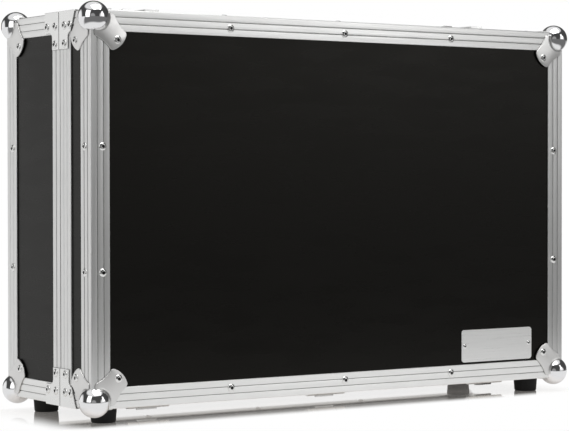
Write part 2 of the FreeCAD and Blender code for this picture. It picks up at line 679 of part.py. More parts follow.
# Bare aluminium nameplate low on the right of the lid's face
plate_x = RIGHT - s.plate_from_right - s.plate_width / 2
plate_z = BOTTOM + s.plate_from_bottom + s.plate_height / 2
plate_outline = rounded(plate_x, plate_z, s.plate_width / 2, s.plate_height / 2, s.plate_corner)
plate_face = FRONT + SKIN - s.plate_metal
node("nameplate", prism("plate", "XZ", [plate_outline], plate_face, FRONT + SKIN))
plate_reach = s.plate_width / 2 - s.plate_rivet_inset
plate_heads = [rivet((plate_x + plate_reach * side, plate_face, plate_z), TO_FRONT,
                     s.plate_rivet_radius, s.plate_rivet_crown, s.plate_rivet_height) for side in (-1, 1)]
node("nameplate_rivets", group("plate_heads", plate_heads))


# Three stop hinges under the seam. The outer knuckles belong to the base's leaf and the middle one to
# the lid's. A lug on the middle knuckle meets the base's leaf from below when the lid is fully open.

hinge_z = BOTTOM - s.hinge_drop
leaf_low = BOTTOM - s.leaf_metal


def knuckle(name, low_x, high_x):
    return rod(name, s.knuckle_radius, high_x - low_x, (low_x, SEAM, hinge_z), ALONG_X)


def hinge(index, x):
    name = "hinge_%d" % index
    half = s.hinge_width / 2
    middle = s.middle_knuckle / 2
    near = s.knuckle_radius + s.knuckle_gap
    bore = s.hinge_pin_radius + s.pin_clearance

    def leaf(low_x, high_x, low_y, high_y, part):
        return block(name + part, (low_x, low_y, leaf_low), (high_x, high_y, BOTTOM))

    def pin_hole(part):
        start = (x - half - s.cut_overrun, SEAM, hinge_z)
        return rod(name + part, bore, s.hinge_width + s.cut_overrun * 2, start, ALONG_X)

    base_leaf = join(name + "_base_solid", [
        leaf(x - half, x + half, SEAM + near, SEAM + s.leaf_depth, "_base_leaf"),
        leaf(x - half, x - middle - s.knuckle_gap, SEAM, SEAM + near, "_base_tab_left"),
        leaf(x + middle + s.knuckle_gap, x + half, SEAM, SEAM + near, "_base_tab_right"),
        knuckle(name + "_knuckle_left", x - half, x - middle - s.knuckle_gap),
        knuckle(name + "_knuckle_right", x + middle + s.knuckle_gap, x + half)])
    lug_level = s.hinge_drop - s.leaf_metal - s.stop_gap - s.stop_metal
    lug = doc.addObject("Part::Box", name + "_stop")
    bind(lug, "Length", s.middle_knuckle)
    bind(lug, "Width", s.stop_reach)
    bind(lug, "Height", s.stop_metal)
    swing_sine = Length(math.sin(math.radians(s.open_angle.number)), "sin(Sizes.open_angle)")
    swing_cosine = Length(math.cos(math.radians(s.open_angle.number)), "cos(Sizes.open_angle)")
    lug_y = Length(lug_level.number * swing_sine.number, lug_level.text + " * " + swing_sine.text)
    lug_z = Length(lug_level.number * swing_cosine.number, lug_level.text + " * " + swing_cosine.text)
    place(lug, (x - middle, SEAM + lug_y, hinge_z + lug_z), FreeCAD.Rotation(V(1, 0, 0), -s.open_angle.number))
    lug.setExpression("Placement.Rotation.Angle", "-Sizes.open_angle")
    lid_leaf = join(name + "_lid_solid", [
        leaf(x - half, x + half, SEAM - s.leaf_depth, SEAM - near, "_lid_leaf"),
        leaf(x - middle, x + middle, SEAM - near, SEAM, "_lid_tab"),
        knuckle(name + "_knuckle_middle", x - middle, x + middle), lug])
    pin = rod(name + "_pin", s.hinge_pin_radius, s.hinge_width, (x - half, SEAM, hinge_z), ALONG_X)
    heads = {}
    for half_name, toward in (("lid", -1), ("base", 1)):
        y = SEAM + s.leaf_rivet_place * toward
        heads[half_name] = [rivet((x + s.leaf_rivet_spacing * step, y, leaf_low), TO_BOTTOM)
                            for step in (-1, 0, 1)]
    return (cut(name + "_base", base_leaf, [pin_hole("_base_bore")]),
            cut(name + "_lid", lid_leaf, [pin_hole("_lid_bore")]), pin, heads)


hinge_reach = RIGHT - s.hinge_from_end
hinges = [hinge(index, hinge_reach * step + s.hinge_shift) for index, step in enumerate((-1, 0, 1), start=1)]
node("base_hinge_leaves", group("base_leaves", [one[0] for one in hinges]))
node("lid_hinge_leaves", group("lid_leaves", [one[1] for one in hinges]))
node("hinge_pins", group("pins", [one[2] for one in hinges]))
node("base_hinge_rivets", group("base_leaf_heads", [head for one in hinges for head in one[3]["base"]]))
node("lid_hinge_rivets", group("lid_leaf_heads", [head for one in hinges for head in one[3]["lid"]]))


# Butterfly latches on the top. Turning the wing half a turn carries an eccentric cam round in the
# hook plate's slot, which draws the hook back and down over the lip of the lid's catch. The model
# shows them undone: cams forward, hooks lifted clear of the lip.

def latch_plate(x):
    """The joggled base plate: over the rail in front, down on the panel behind, with the cam's journal hole."""
    front = BASE_RIM + s.catch_lip_gap
    step = BASE_RIM + s.base_rail_flange + s.catch_lip_gap
    end = SEAM + s.latch_plate_length
    low = TOP - SKIN
    side = [(front, TOP), (step, TOP), (step, low), (end, low), (end, low + s.latch_metal),
            (step + s.latch_metal, low + s.latch_metal), (step + s.latch_metal, TOP + s.latch_metal),
            (front, TOP + s.latch_metal)]
    name = "latch_plate_left" if x.number < 0 else "latch_plate_right"
    half = s.latch_plate_width / 2
    stock = prism(name + "_stock", "YZ", [side], x - half, x + half)
    hole = rod(name + "_hole", s.journal_radius + s.running_clearance, SKIN, (x, SEAM + s.cam_place, low))
    return cut(name, stock, [hole])


def latch_cam(name, x):
    """Journal, eccentric, head and the barrel that carries the wing, turned from one piece."""
    y = SEAM + s.cam_place
    low = TOP - SKIN + s.latch_metal + s.thrust_gap
    journal_low = TOP - SKIN + s.thrust_gap
    head_low = TOP + s.cam_top
    head_top = head_low + s.cam_head_height
    axis_z = TOP + s.wing_axis_height
    half = s.barrel_length / 2
    solid = join(name + "_solid", [
        rod(name + "_journal", s.journal_radius, low - journal_low, (x, y, journal_low)),
        rod(name + "_eccentric", s.cam_radius, head_low - low, (x, y - s.cam_offset, low)),
        rod(name + "_head", s.cam_head_radius, s.cam_head_height, (x, y, head_low)),
        block(name + "_saddle", (x - half, y - s.barrel_radius, head_top - s.cam_head_height / 2),
              (x + half, y + s.barrel_radius, axis_z)),
        rod(name + "_barrel", s.barrel_radius, s.barrel_length, (x - half, y, axis_z), ALONG_X)])
    bore = rod(name + "_bore", s.trunnion_radius + s.running_clearance, s.barrel_length + s.cut_overrun * 2,
               (x - half - s.cut_overrun, y, axis_z), ALONG_X)
    return cut(name + "_turned", solid, [bore])


def latch_hook(name, x):
    """The hook plate where it rests undone: forward by twice the cam's offset and lifted."""
    slot_y = SEAM + s.cam_place - s.cam_offset
    travel = s.cam_offset * 2
    low = TOP + s.hook_height + s.hook_lift
    high = low + s.hook_metal
    half_body, half_neck = s.hook_body_width / 2, s.hook_neck_width / 2
    body_front, body_back = slot_y - s.hook_body_length / 2, slot_y + s.hook_body_length / 2
    nose = SEAM - s.claw_reach - travel
    corner = s.hook_corner
    plan = [(x - half_neck, nose), (x + half_neck, nose), (x + half_neck, body_front - corner),
            Bend(corner, to_right=False), (x + half_neck + corner, body_front),
            (x + half_body, body_front), (x + half_body, body_back - corner), Bend(corner),
            (x + half_body - corner, body_back), (x - half_body + corner, body_back), Bend(corner),
            (x - half_body, body_back - corner), (x - half_body, body_front), (x - half_neck - corner, body_front),
            Bend(corner, to_right=False), (x - half_neck, body_front - corner)]
    slot_round = s.cam_radius + s.hook_slack
    straight = s.cam_offset
    slot = [(x - straight, slot_y - slot_round), (x + straight, slot_y - slot_round), Bend(slot_round),
            (x + straight + slot_round, slot_y), Bend(slot_round), (x + straight, slot_y + slot_round),
            (x - straight, slot_y + slot_round), Bend(slot_round), (x - straight - slot_round, slot_y),
            Bend(slot_round)]
    sheet_part = prism(name + "_sheet", "XY", [plan, slot], low, high)
    claw = block(name + "_claw", (x - half_neck, nose, low - s.claw_depth),
                 (x + half_neck, nose + s.hook_metal, high))
    return join(name + "_plate", [sheet_part, claw])


def latch_wing(name, x):
    """The folding wing, lying flat towards the back, with trunnions in the cam's barrel."""
    y = SEAM + s.cam_place
    axis_z = TOP + s.wing_axis_height
    low = axis_z - s.wing_metal / 2
    half = s.wing_width / 2
    inner = s.barrel_length / 2 + s.wing_side_gap
    throat = y + s.barrel_radius + s.wing_side_gap * 2
    tail = y + s.wing_length
    plan = [(x - half, y - s.wing_heel), (x - inner, y - s.wing_heel), (x - inner, throat), (x + inner, throat),
            (x + inner, y - s.wing_heel), (x + half, y - s.wing_heel), (x + half, y + s.wing_shoulder),
            Bend(s.wing_length), (x + s.wing_shoulder, tail), (x - s.wing_shoulder, tail), Bend(s.wing_length),
            (x - half, y + s.wing_shoulder)]
    flap = prism(name + "_flap", "XY", [plan], low, low + s.wing_metal)
    pins = []
    for side in (-1, 1):
        start = x + inner * side if side == -1 else x + inner - s.trunnion_length
        pins.append(rod("%s_trunnion_%d" % (name, side), s.trunnion_radius, s.trunnion_length,
                        (start, y, axis_z), ALONG_X))
    return join(name + "_wing", [flap] + pins)


def latch_catch(name, x):
    """The catch on the lid: a plate with an upturned lip that the claw draws on."""
    near = LID_RIM - s.catch_lip_gap
    lip_front = SEAM - s.claw_reach + s.hook_metal + s.catch_lip_gap
    half = s.catch_width / 2
    plate = block(name + "_plate", (x - half, near - s.catch_length, TOP), (x + half, near, TOP + s.catch_metal))
    lip = block(name + "_lip", (x - s.hook_neck_width / 2, lip_front, TOP),
                (x + s.hook_neck_width / 2, lip_front + s.catch_lip_metal, TOP + s.catch_metal + s.catch_lip_height))
    return join(name, [plate, lip])


latch_places = {"left": LEFT + s.latch_from_end, "right": RIGHT - s.latch_from_end}
latch_heads, catch_heads = [], []
for side, x in latch_places.items():
    node("latch_cam_" + side, latch_cam("cam_" + side, x))
    node("latch_hook_" + side, latch_hook("hook_" + side, x))
    node("latch_wing_" + side, latch_wing("flap_" + side, x))
    inset = s.latch_rivet_inset
    back_y = SEAM + s.latch_plate_length - inset
    rear_z = TOP - SKIN + s.latch_metal
    catch_y = LID_RIM - s.catch_lip_gap - s.catch_length / 2
    for hand in (-1, 1):
        edge_x = x + (s.latch_plate_width / 2 - inset) * hand
        latch_heads.append(rivet((edge_x, SEAM + s.rivet_line - inset / 2, TOP + s.latch_metal), TO_TOP))
        latch_heads.append(rivet((edge_x, back_y, rear_z), TO_TOP))
        catch_heads.append(rivet((x + (s.catch_width / 2 - inset) * hand, catch_y, TOP + s.catch_metal), TO_TOP))
node("latch_plates", group("latch_plate_pair", [latch_plate(x) for x in latch_places.values()]))
catches = [latch_catch("catch_" + side, x) for side, x in latch_places.items()]
node("latch_catches", group("catch_pair", catches))
node("latch_plate_rivets", group("latch_heads", latch_heads))
node("latch_catch_rivets", group("catch_heads", catch_heads))


# Carrying handle: a pressed dish let into the top wall, with a bail that folds up on a rod

dish_top = TOP - SKIN + s.dish_metal
pivot_y = dish_y - tub_half_y + s.bail_pivot_inset
pivot_z = TOP - s.bail_pivot_depth
grip_y = dish_y + tub_half_y - s.grip_inset
grip_z = TOP - s.grip_depth


def handle_dish():
    middle = 0 * dish_y
    edge = rounded(middle, dish_y, s.dish_length / 2, (dish_high_y - dish_low_y) / 2, s.dish_corner)
    outside = rounded(middle, dish_y, tub_half_x + s.dish_metal, tub_half_y + s.dish_metal, s.tub_corner)
    inside = rounded(middle, dish_y, tub_half_x, tub_half_y, s.tub_corner)
    flange = prism("dish_flange", "XY", [edge], TOP - SKIN, dish_top)
    tub = prism("dish_tub", "XY", [outside], tub_bottom, TOP - SKIN)
    hollow = prism("dish_hollow", "XY", [inside], tub_bottom + s.dish_metal, dish_top + s.cut_overrun)
    rod_hole = rod("dish_rod_hole", s.rod_radius, s.tub_length + s.dish_metal * 2,
                   (-tub_half_x - s.dish_metal, pivot_y, pivot_z), ALONG_X)
    return cut("dish", join("dish_solid", [flange, tub]), [join("dish_tools", [hollow, rod_hole])])


def bail():
    """Two flat arms with eyes on the rod, and the round core that joins them through the grip."""
    outer_x = tub_half_x - s.bail_side_gap
    eye = s.bail_eye_radius
    arms = []
    for side, low_x in (("left", -outer_x), ("right", outer_x - s.bail_arm_metal)):
        outline = [(pivot_y, pivot_z - eye), (grip_y, grip_z - eye), Bend(eye), (grip_y + eye, grip_z), Bend(eye),
                   (grip_y, grip_z + eye), (pivot_y, pivot_z + eye), Bend(eye), (pivot_y - eye, pivot_z), Bend(eye)]
        arms.append(prism("bail_arm_" + side, "YZ", [outline], low_x, low_x + s.bail_arm_metal))
    core = rod("bail_core", s.bail_core_radius, outer_x * 2, (-outer_x, grip_y, grip_z), ALONG_X)
    eye_hole = rod("bail_eyes", s.rod_radius + s.running_clearance, s.tub_length,
                   (-tub_half_x, pivot_y, pivot_z), ALONG_X)
    return cut("bail", join("bail_solid", arms + [core]), [eye_hole])


def grip():
    half = tub_half_x - s.bail_side_gap - s.bail_arm_metal - s.grip_end_gap
    sleeve = rod("grip_sleeve", s.grip_radius, half * 2, (-half, grip_y, grip_z), ALONG_X)
    bore = rod("grip_bore", s.bail_core_radius + s.running_clearance, half * 2, (-half, grip_y, grip_z), ALONG_X)
    return cut("grip", sleeve, [bore])


node("handle_dish", handle_dish())
node("handle_bail", bail())
node("handle_grip", grip())
node("handle_rod", rod("pivot_rod", s.rod_radius, s.tub_length + s.dish_metal * 2,
                       (-tub_half_x - s.dish_metal, pivot_y, pivot_z), ALONG_X))
dish_heads = []
for x_share in (-1, 0, 1):
    for y_side in (-1, 1):
        spot_x = (s.dish_length / 2 - s.dish_rivet_inset) * x_share
        spot_y = dish_y + ((dish_high_y - dish_low_y) / 2 - s.dish_rivet_inset) * y_side
        dish_heads.append(rivet((spot_x, spot_y, dish_top), TO_TOP))
node("handle_dish_rivets", group("dish_heads", dish_heads))


def check_and_write():
    """Recomputes the document, stops on any failed object, and writes one file for each sub-part."""
    doc.recompute()
    for thing in doc.Objects:
        if "Invalid" in thing.State or "Error" in thing.State:
            raise RuntimeError(thing.Name + " failed: " + str(thing.State))
    os.makedirs("parts", exist_ok=True)
    for thing in nodes:
        shape = thing.Shape
        if shape.isNull() or not shape.isValid() or not shape.Solids:
            raise RuntimeError(thing.Label + " has no valid shape")
        shape.exportStep(os.path.join("parts", thing.Label + ".step"))
        print("%-28s %3d solids  %10.1f mm3" % (thing.Label, len(shape.Solids), shape.Volume))


check_and_write()
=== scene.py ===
import json
import math

import bmesh
import bpy
from mathutils import Matrix, Vector, noise

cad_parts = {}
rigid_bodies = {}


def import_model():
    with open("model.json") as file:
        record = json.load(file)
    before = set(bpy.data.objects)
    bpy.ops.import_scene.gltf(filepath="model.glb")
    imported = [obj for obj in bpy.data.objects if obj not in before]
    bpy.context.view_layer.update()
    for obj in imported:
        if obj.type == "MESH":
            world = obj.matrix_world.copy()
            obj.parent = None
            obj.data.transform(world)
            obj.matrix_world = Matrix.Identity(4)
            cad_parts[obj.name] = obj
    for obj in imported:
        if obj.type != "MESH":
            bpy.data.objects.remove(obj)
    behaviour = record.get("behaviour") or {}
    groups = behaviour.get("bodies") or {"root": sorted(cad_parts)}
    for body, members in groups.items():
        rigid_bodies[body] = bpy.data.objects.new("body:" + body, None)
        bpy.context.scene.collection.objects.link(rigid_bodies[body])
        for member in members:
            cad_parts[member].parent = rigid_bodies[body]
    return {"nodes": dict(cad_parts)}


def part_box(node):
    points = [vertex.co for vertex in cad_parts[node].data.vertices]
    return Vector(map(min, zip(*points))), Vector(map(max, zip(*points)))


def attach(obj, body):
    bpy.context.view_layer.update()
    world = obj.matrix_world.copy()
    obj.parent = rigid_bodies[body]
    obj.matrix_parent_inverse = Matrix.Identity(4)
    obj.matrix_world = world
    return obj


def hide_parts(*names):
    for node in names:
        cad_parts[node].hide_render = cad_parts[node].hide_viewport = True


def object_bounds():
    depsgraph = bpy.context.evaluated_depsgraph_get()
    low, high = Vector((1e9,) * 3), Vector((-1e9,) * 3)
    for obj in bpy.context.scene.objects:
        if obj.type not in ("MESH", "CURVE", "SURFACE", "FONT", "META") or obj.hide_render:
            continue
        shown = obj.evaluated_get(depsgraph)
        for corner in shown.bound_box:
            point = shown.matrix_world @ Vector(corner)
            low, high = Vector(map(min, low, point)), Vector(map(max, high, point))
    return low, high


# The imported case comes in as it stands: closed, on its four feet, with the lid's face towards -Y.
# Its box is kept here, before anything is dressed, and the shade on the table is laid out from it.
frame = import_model()
cad_low, cad_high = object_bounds()

# The camera stands to the left of the lid's face, a little above the middle of the case, and looks
# almost level through a long lens. The figures come from the edges of the case in the photograph.
scene = bpy.context.scene
scene.view_settings.view_transform = "Standard"
long_lens = bpy.data.cameras.new("long_lens")
long_lens.sensor_width = 36
long_lens.lens = 130.96
camera = bpy.data.objects.new("camera", long_lens)
scene.collection.objects.link(camera)
camera.location = (-1.4328, -2.0834, 0.2679)
camera.rotation_euler = (math.radians(90) - 0.0166, 0.0013, -0.5966)
scene.camera = camera


# The white studio, as the chrome balls show it: a dark band round the horizon, broken by four pale
# windows, under a bright ceiling. Two soft boxes and an overhead bank light the case on a white table.
horizon_glow, ceiling_glow, ceiling_from, ceiling_to = 0.06, 0.8, 0.68, 0.8
soft_glow, plain_white = 0.5, 1.0

# A window's glow grows from nothing to full as the cosine to its direction goes from one value to another.
studio_windows = [
    {"toward": (-0.56, 0.83, 0.0), "from": 0.85, "to": 0.95, "glow": 0.86},
    {"toward": (0.6, -0.8, 0.05), "from": 0.9, "to": 0.99, "glow": 0.9},
    {"toward": (-0.56, -0.83, 0.05), "from": 0.93, "to": 0.98, "glow": 0.3},
    {"toward": (0.56, 0.83, 0.0), "from": 0.93, "to": 0.98, "glow": 1.0}]


def add_node(tree, kind, inputs=(), **settings):
    """Adds a shader node. Its inputs are pairs of a socket and a value or another node's output."""
    made = tree.nodes.new("ShaderNode" + kind)
    for name, value in settings.items():
        setattr(made, name, value)
    for socket, value in inputs:
        if isinstance(value, bpy.types.NodeSocket):
            tree.links.new(value, made.inputs[socket])
        else:
            made.inputs[socket].default_value = value
    return made


def faded(tree, value, start, end, before, after):
    """Goes smoothly from one level to another while the value goes from start to end."""
    return add_node(tree, "MapRange", [("Value", value), ("From Min", start), ("From Max", end),
                                       ("To Min", before), ("To Max", after)],
                    interpolation_type="SMOOTHSTEP").outputs[0]


def larger(tree, one, other):
    """The larger of two values."""
    return add_node(tree, "Math", [(0, one), (1, other)], operation="MAXIMUM").outputs[0]


def by_ray(tree, mirrored):
    """The studio's brightness: white to the camera, a level of its own in mirrors, and grey to soft light."""
    rays = add_node(tree, "LightPath")
    shiny = add_node(tree, "Mix", [(0, rays.outputs["Is Glossy Ray"]), (2, soft_glow), (3, mirrored)])
    plain = larger(tree, rays.outputs["Is Camera Ray"], rays.outputs["Is Transmission Ray"])
    return add_node(tree, "Mix", [(0, plain), (2, shiny.outputs[0]), (3, plain_white)]).outputs[0]


def studio_world():
    world = bpy.data.worlds.new("white_studio")
    world.use_nodes = True
    tree = world.node_tree
    tree.nodes.clear()
    toward = add_node(tree, "TexCoord").outputs["Generated"]
    height = add_node(tree, "SeparateXYZ", [(0, toward)]).outputs["Z"]
    seen = larger(tree, faded(tree, height, ceiling_from, ceiling_to, 0.0, ceiling_glow), horizon_glow)
    for window in studio_windows:
        facing = add_node(tree, "VectorMath", [(0, toward), (1, window["toward"])], operation="DOT_PRODUCT")
        pane = faded(tree, facing.outputs["Value"], window["from"], window["to"], 0.0, window["glow"])
        seen = larger(tree, seen, pane)
    glow = add_node(tree, "Background", [("Color", (1, 1, 1, 1)), ("Strength", by_ray(tree, seen))])
    add_node(tree, "OutputWorld", [("Surface", glow.outputs[0])])
    return world


scene.world = studio_world()


def soft_box(name, place, aim, width, height, power):
    lamp = bpy.data.lights.new(name, "AREA")
    lamp.shape = "RECTANGLE"
    lamp.size = width
    lamp.size_y = height
    lamp.energy = power
    box = bpy.data.objects.new(name, lamp)
    box.location = place
    box.rotation_euler = (Vector(aim) - Vector(place)).to_track_quat("-Z", "Y").to_euler()
    box.visible_camera = False
    scene.collection.objects.link(box)


case_middle = (0, 0, 0.24)
soft_box("left_box", (-2.7, -0.87, 1.25), case_middle, 1.6, 2.3, 15)
soft_box("right_box", (1.8, -2.4, 1.35), case_middle, 0.7, 1.5, 4.6)
soft_box("overhead_bank", (0.0, -0.8, 2.4), case_middle, 2.0, 1.6, 32)


# The shade on the table starts a little inside the case's outline and fades out within a few centimetres.
# In a mirror, the table is pale near the case and behind it, and dark further away in front.
shade_inset, shade_squeeze, shade_fade = (0.015, 0.02), (0.5, 0.8, 1), 0.03
table_from, table_to, table_near, table_far = 0.35, 0.6, 0.8, 0.16
behind_from, behind_to, behind_glow = 0.0, 0.4, 0.8
table_half, mirror_falloff = 20, 2.5


def floor_finish():
    """Plain white from a few centimetres round the case on. Under the case, paint that takes its shade, with
    a gloss that mirrors at a grazing look."""
    finish = bpy.data.materials.new("white_floor")
    finish.use_nodes = True
    tree = finish.node_tree
    tree.nodes.clear()
    here = add_node(tree, "TexCoord").outputs["Object"]
    backward = add_node(tree, "SeparateXYZ", [(0, here)]).outputs["Y"]
    paint = add_node(tree, "BsdfDiffuse", [("Color", (0.6, 0.58, 0.56, 1))])
    gloss = add_node(tree, "BsdfGlossy", [("Color", (1, 1, 1, 1)), ("Roughness", 0.04)])
    lit = add_node(tree, "Emission", [("Color", (1, 0.95, 0.9, 1)), ("Strength", 0.3)])
    soft = add_node(tree, "AddShader", [(0, paint.outputs[0]), (1, lit.outputs[0])])
    grazing = add_node(tree, "LayerWeight", [("Blend", 0.5)]).outputs["Facing"]
    mirror = add_node(tree, "Math", [(0, grazing), (1, mirror_falloff)], operation="POWER").outputs[0]
    shaded = add_node(tree, "MixShader", [("Fac", mirror), (1, soft.outputs[0]), (2, gloss.outputs[0])])

    shade_corner = (cad_high.x - shade_inset[0], cad_high.y - shade_inset[1], 0)
    across = add_node(tree, "VectorMath", [(0, here)], operation="ABSOLUTE").outputs[0]
    beyond = add_node(tree, "VectorMath", [(0, across), (1, shade_corner)], operation="SUBTRACT").outputs[0]
    outside = add_node(tree, "VectorMath", [(0, beyond), (1, (0, 0, 0))], operation="MAXIMUM").outputs[0]
    squeezed = add_node(tree, "VectorMath", [(0, outside), (1, shade_squeeze)], operation="MULTIPLY")
    reach = add_node(tree, "VectorMath", [(0, squeezed.outputs[0])], operation="LENGTH").outputs["Value"]
    away = faded(tree, reach, 0.0, shade_fade, 0.0, 1.0)

    far = add_node(tree, "VectorMath", [(0, outside)], operation="LENGTH").outputs["Value"]
    table = faded(tree, far, table_from, table_to, table_near, table_far)
    mirrored = larger(tree, table, faded(tree, backward, behind_from, behind_to, 0.0, behind_glow))
    white = add_node(tree, "Emission", [("Color", (1, 1, 1, 1)), ("Strength", by_ray(tree, mirrored))])
    whole = add_node(tree, "MixShader", [("Fac", away), (1, shaded.outputs[0]), (2, white.outputs[0])])
    add_node(tree, "OutputMaterial", [("Surface", whole.outputs[0])])
    return finish


table_corners = [(x * table_half, y * table_half, 0) for x, y in ((-1, -1), (1, -1), (1, 1), (-1, 1))]
floor_mesh = bpy.data.meshes.new("floor")
floor_mesh.from_pydata(table_corners, [], [(0, 1, 2, 3)])
floor_mesh.materials.append(floor_finish())
floor = bpy.data.objects.new("floor", floor_mesh)
scene.collection.objects.link(floor)

# Open, the lid hangs lower than the feet, so the floor sinks out of its way as it swings down.
lid_swing, floor_drop = math.radians(95), 0.12
making_way = floor.constraints.new("TRANSFORM")
making_way.target = bpy.data.objects["body:lid"]
making_way.map_from = "ROTATION"
making_way.from_max_x_rot = lid_swing
making_way.map_to = "LOCATION"
making_way.map_to_z_from = "X"
making_way.to_max_z = -floor_drop


# Ten plywood panels, 9.5 mm thick, faced with a satin black laminate that has a fine pebbled grain.
# They are glued and nailed into two trays, and every outer edge lies under an aluminium extrusion.
def principled(name, colour, roughness, metallic=0.0):
    finish = bpy.data.materials.new(name)
    finish.use_nodes = True
    surface = finish.node_tree.nodes["Principled BSDF"]
    surface.inputs["Base Color"].default_value = (*colour, 1)
    surface.inputs["Roughness"].default_value = roughness
    surface.inputs["Metallic"].default_value = metallic
    return finish, finish.node_tree, surface


def stretched(tree, vector, scale):
    """Coordinates, scaled by an amount of its own along each axis."""
    return add_node(tree, "Mapping", [("Vector", vector), ("Scale", scale)]).outputs[0]


def grain(tree, vector, scale, detail=3.0):
    """A noise texture over the given coordinates."""
    clouds = add_node(tree, "TexNoise", [("Vector", vector), ("Scale", scale), ("Detail", detail)])
    return clouds.outputs["Fac"]


def spread(tree, value, low, high, from_low=0.3, from_high=0.7):
    """The value, spread from the range that noise mostly has over another."""
    return add_node(tree, "MapRange", [("Value", value), ("From Min", from_low), ("From Max", from_high),
                                       ("To Min", low), ("To Max", high)]).outputs[0]


def tinted(tree, value, dark, light):
    """A colour between two, by a value from 0 to 1."""
    mix = add_node(tree, "Mix", [(0, value), (6, (*dark, 1)), (7, (*light, 1))], data_type="RGBA")
    return mix.outputs[2]


def embossed(tree, height, distance, strength):
    """The normal of a surface raised by a height from 0 to 1."""
    bump = add_node(tree, "Bump", [("Height", height), ("Distance", distance), ("Strength", strength)])
    return bump.outputs["Normal"]


def laminate_finish():
    finish, tree, surface = principled("laminate_black", (0.003, 0.0028, 0.0026), 0.26)
    surface.inputs["Specular IOR Level"].default_value = 0.16
    surface.inputs["Specular Tint"].default_value = (1.0, 0.97, 0.88, 1)
    here = add_node(tree, "TexCoord").outputs["Object"]
    cloud = grain(tree, here, 9.0, 5.0)
    pebble = add_node(tree, "TexVoronoi", [("Vector", here), ("Scale", 1150.0)]).outputs["Distance"]
    wipe = grain(tree, stretched(tree, here, (14, 14, 60)), 1.0, 4.0)
    black = tinted(tree, cloud, (0.0022, 0.002, 0.0018), (0.0038, 0.0035, 0.0032))
    tree.links.new(black, surface.inputs["Base Color"])
    tree.links.new(spread(tree, wipe, 0.24, 0.32), surface.inputs["Roughness"])
    tree.links.new(embossed(tree, pebble, 0.0001, 0.25), surface.inputs["Normal"])
    return finish


laminate = laminate_finish()
for panel in ("lid_front_panel", "lid_bottom_wall", "lid_left_wall", "lid_right_wall", "lid_top_wall",
              "base_back_panel", "base_bottom_wall", "base_left_wall", "base_right_wall", "base_top_wall"):
    frame["nodes"][panel].data.materials.clear()
    frame["nodes"][panel].data.materials.append(laminate)


# Aluminium angles, 23.5 mm a leg, cover the long outer edges of both halves. They are extruded with
# three flat bands a leg, satin anodised, sawn to a mitre at the corners, and held by pop rivets.
left, right, lid_face, back_face, low_face, top_face = -0.341, 0.341, -0.101, 0.101, 0.018, 0.456
leg, leg_bands, leg_round, metal, ease = 0.0235, 3, 0.0011, 0.0013, 0.00045
line_depth, line_floor = 0.0005, 0.85
line_shape = [(-0.00095, 0.0), (-0.0008, 0.06), (-0.0001, 0.9), (0.0001, 0.98),
              (0.00035, 0.98), (0.00045, 0.9), (0.00065, 0.08), (0.0008, 0.0)]
# Painted shade in crevices: its reach, its darkest level, and the openness where it is full and gone.
crevice_shade_reach, crevice_shade_darkest, crevice_shade_full, crevice_shade_none = 0.0045, 0.12, 0.25, 0.8


def painted_crevice_shade(tree, colour):
    """The colour, darker where the surface meets another piece closely: painted shade from ambient occlusion.
    """
    openness = add_node(tree, "AmbientOcclusion", [("Distance", crevice_shade_reach)], samples=12).outputs["AO"]
    unshaded_share = spread(tree, openness, crevice_shade_darkest, 1.0, crevice_shade_full, crevice_shade_none)
    mix = add_node(tree, "Mix", [(0, unshaded_share), (6, (0.0, 0.0, 0.0, 1)), (7, colour)], data_type="RGBA")
    return mix.outputs[2]


def aluminium_finish():
    finish, tree, surface = principled("satin_aluminium", (0.8, 0.8, 0.79), 0.38, 1.0)
    along = add_node(tree, "TexCoord").outputs["UV"]
    draw_lines = grain(tree, stretched(tree, along, (9, 2600, 1)), 1.0, 6.0)
    soft_patches = grain(tree, stretched(tree, along, (30, 260, 1)), 1.0)
    silver = tinted(tree, soft_patches, (0.85, 0.85, 0.84), (0.95, 0.95, 0.94))
    # Painted shade darkens the silver where the angle meets other pieces closely.
    tree.links.new(painted_crevice_shade(tree, silver), surface.inputs["Base Color"])
    tree.links.new(spread(tree, draw_lines, 0.31, 0.45), surface.inputs["Roughness"])
    tree.links.new(embossed(tree, draw_lines, 0.00003, 0.35), surface.inputs["Normal"])
    surface.inputs["Anisotropic"].default_value = 0.8
    surface.inputs["Anisotropic Rotation"].default_value = 0.25
    tree.links.new(add_node(tree, "Tangent", direction_type="UV_MAP").outputs[0], surface.inputs["Tangent"])
    return finish


satin_aluminium = aluminium_finish()
# The floors of the lines are painted dark: painted shade in the grooves.
shaded_line_aluminium = principled("aluminium_painted_shade_in_lines", (0.19, 0.19, 0.185), 0.4, 1.0)[0]


def lines(flange, bands):
    """Distances along a flange's outer side and the depths there of the lines that part its bands."""
    points = []
    for index in range(1, bands):
        points += [(flange * index / bands + offset, line_depth * share) for offset, share in line_shape]
    return points


def new_piece(name, mesh, finishes, body):
    """An object of the case, in one finish or more, that rides on one of its bodies."""
    for finish in finishes:
        mesh.materials.append(finish)
    piece = bpy.data.objects.new(name, mesh)
    scene.collection.objects.link(piece)
    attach(piece, body)
    return piece


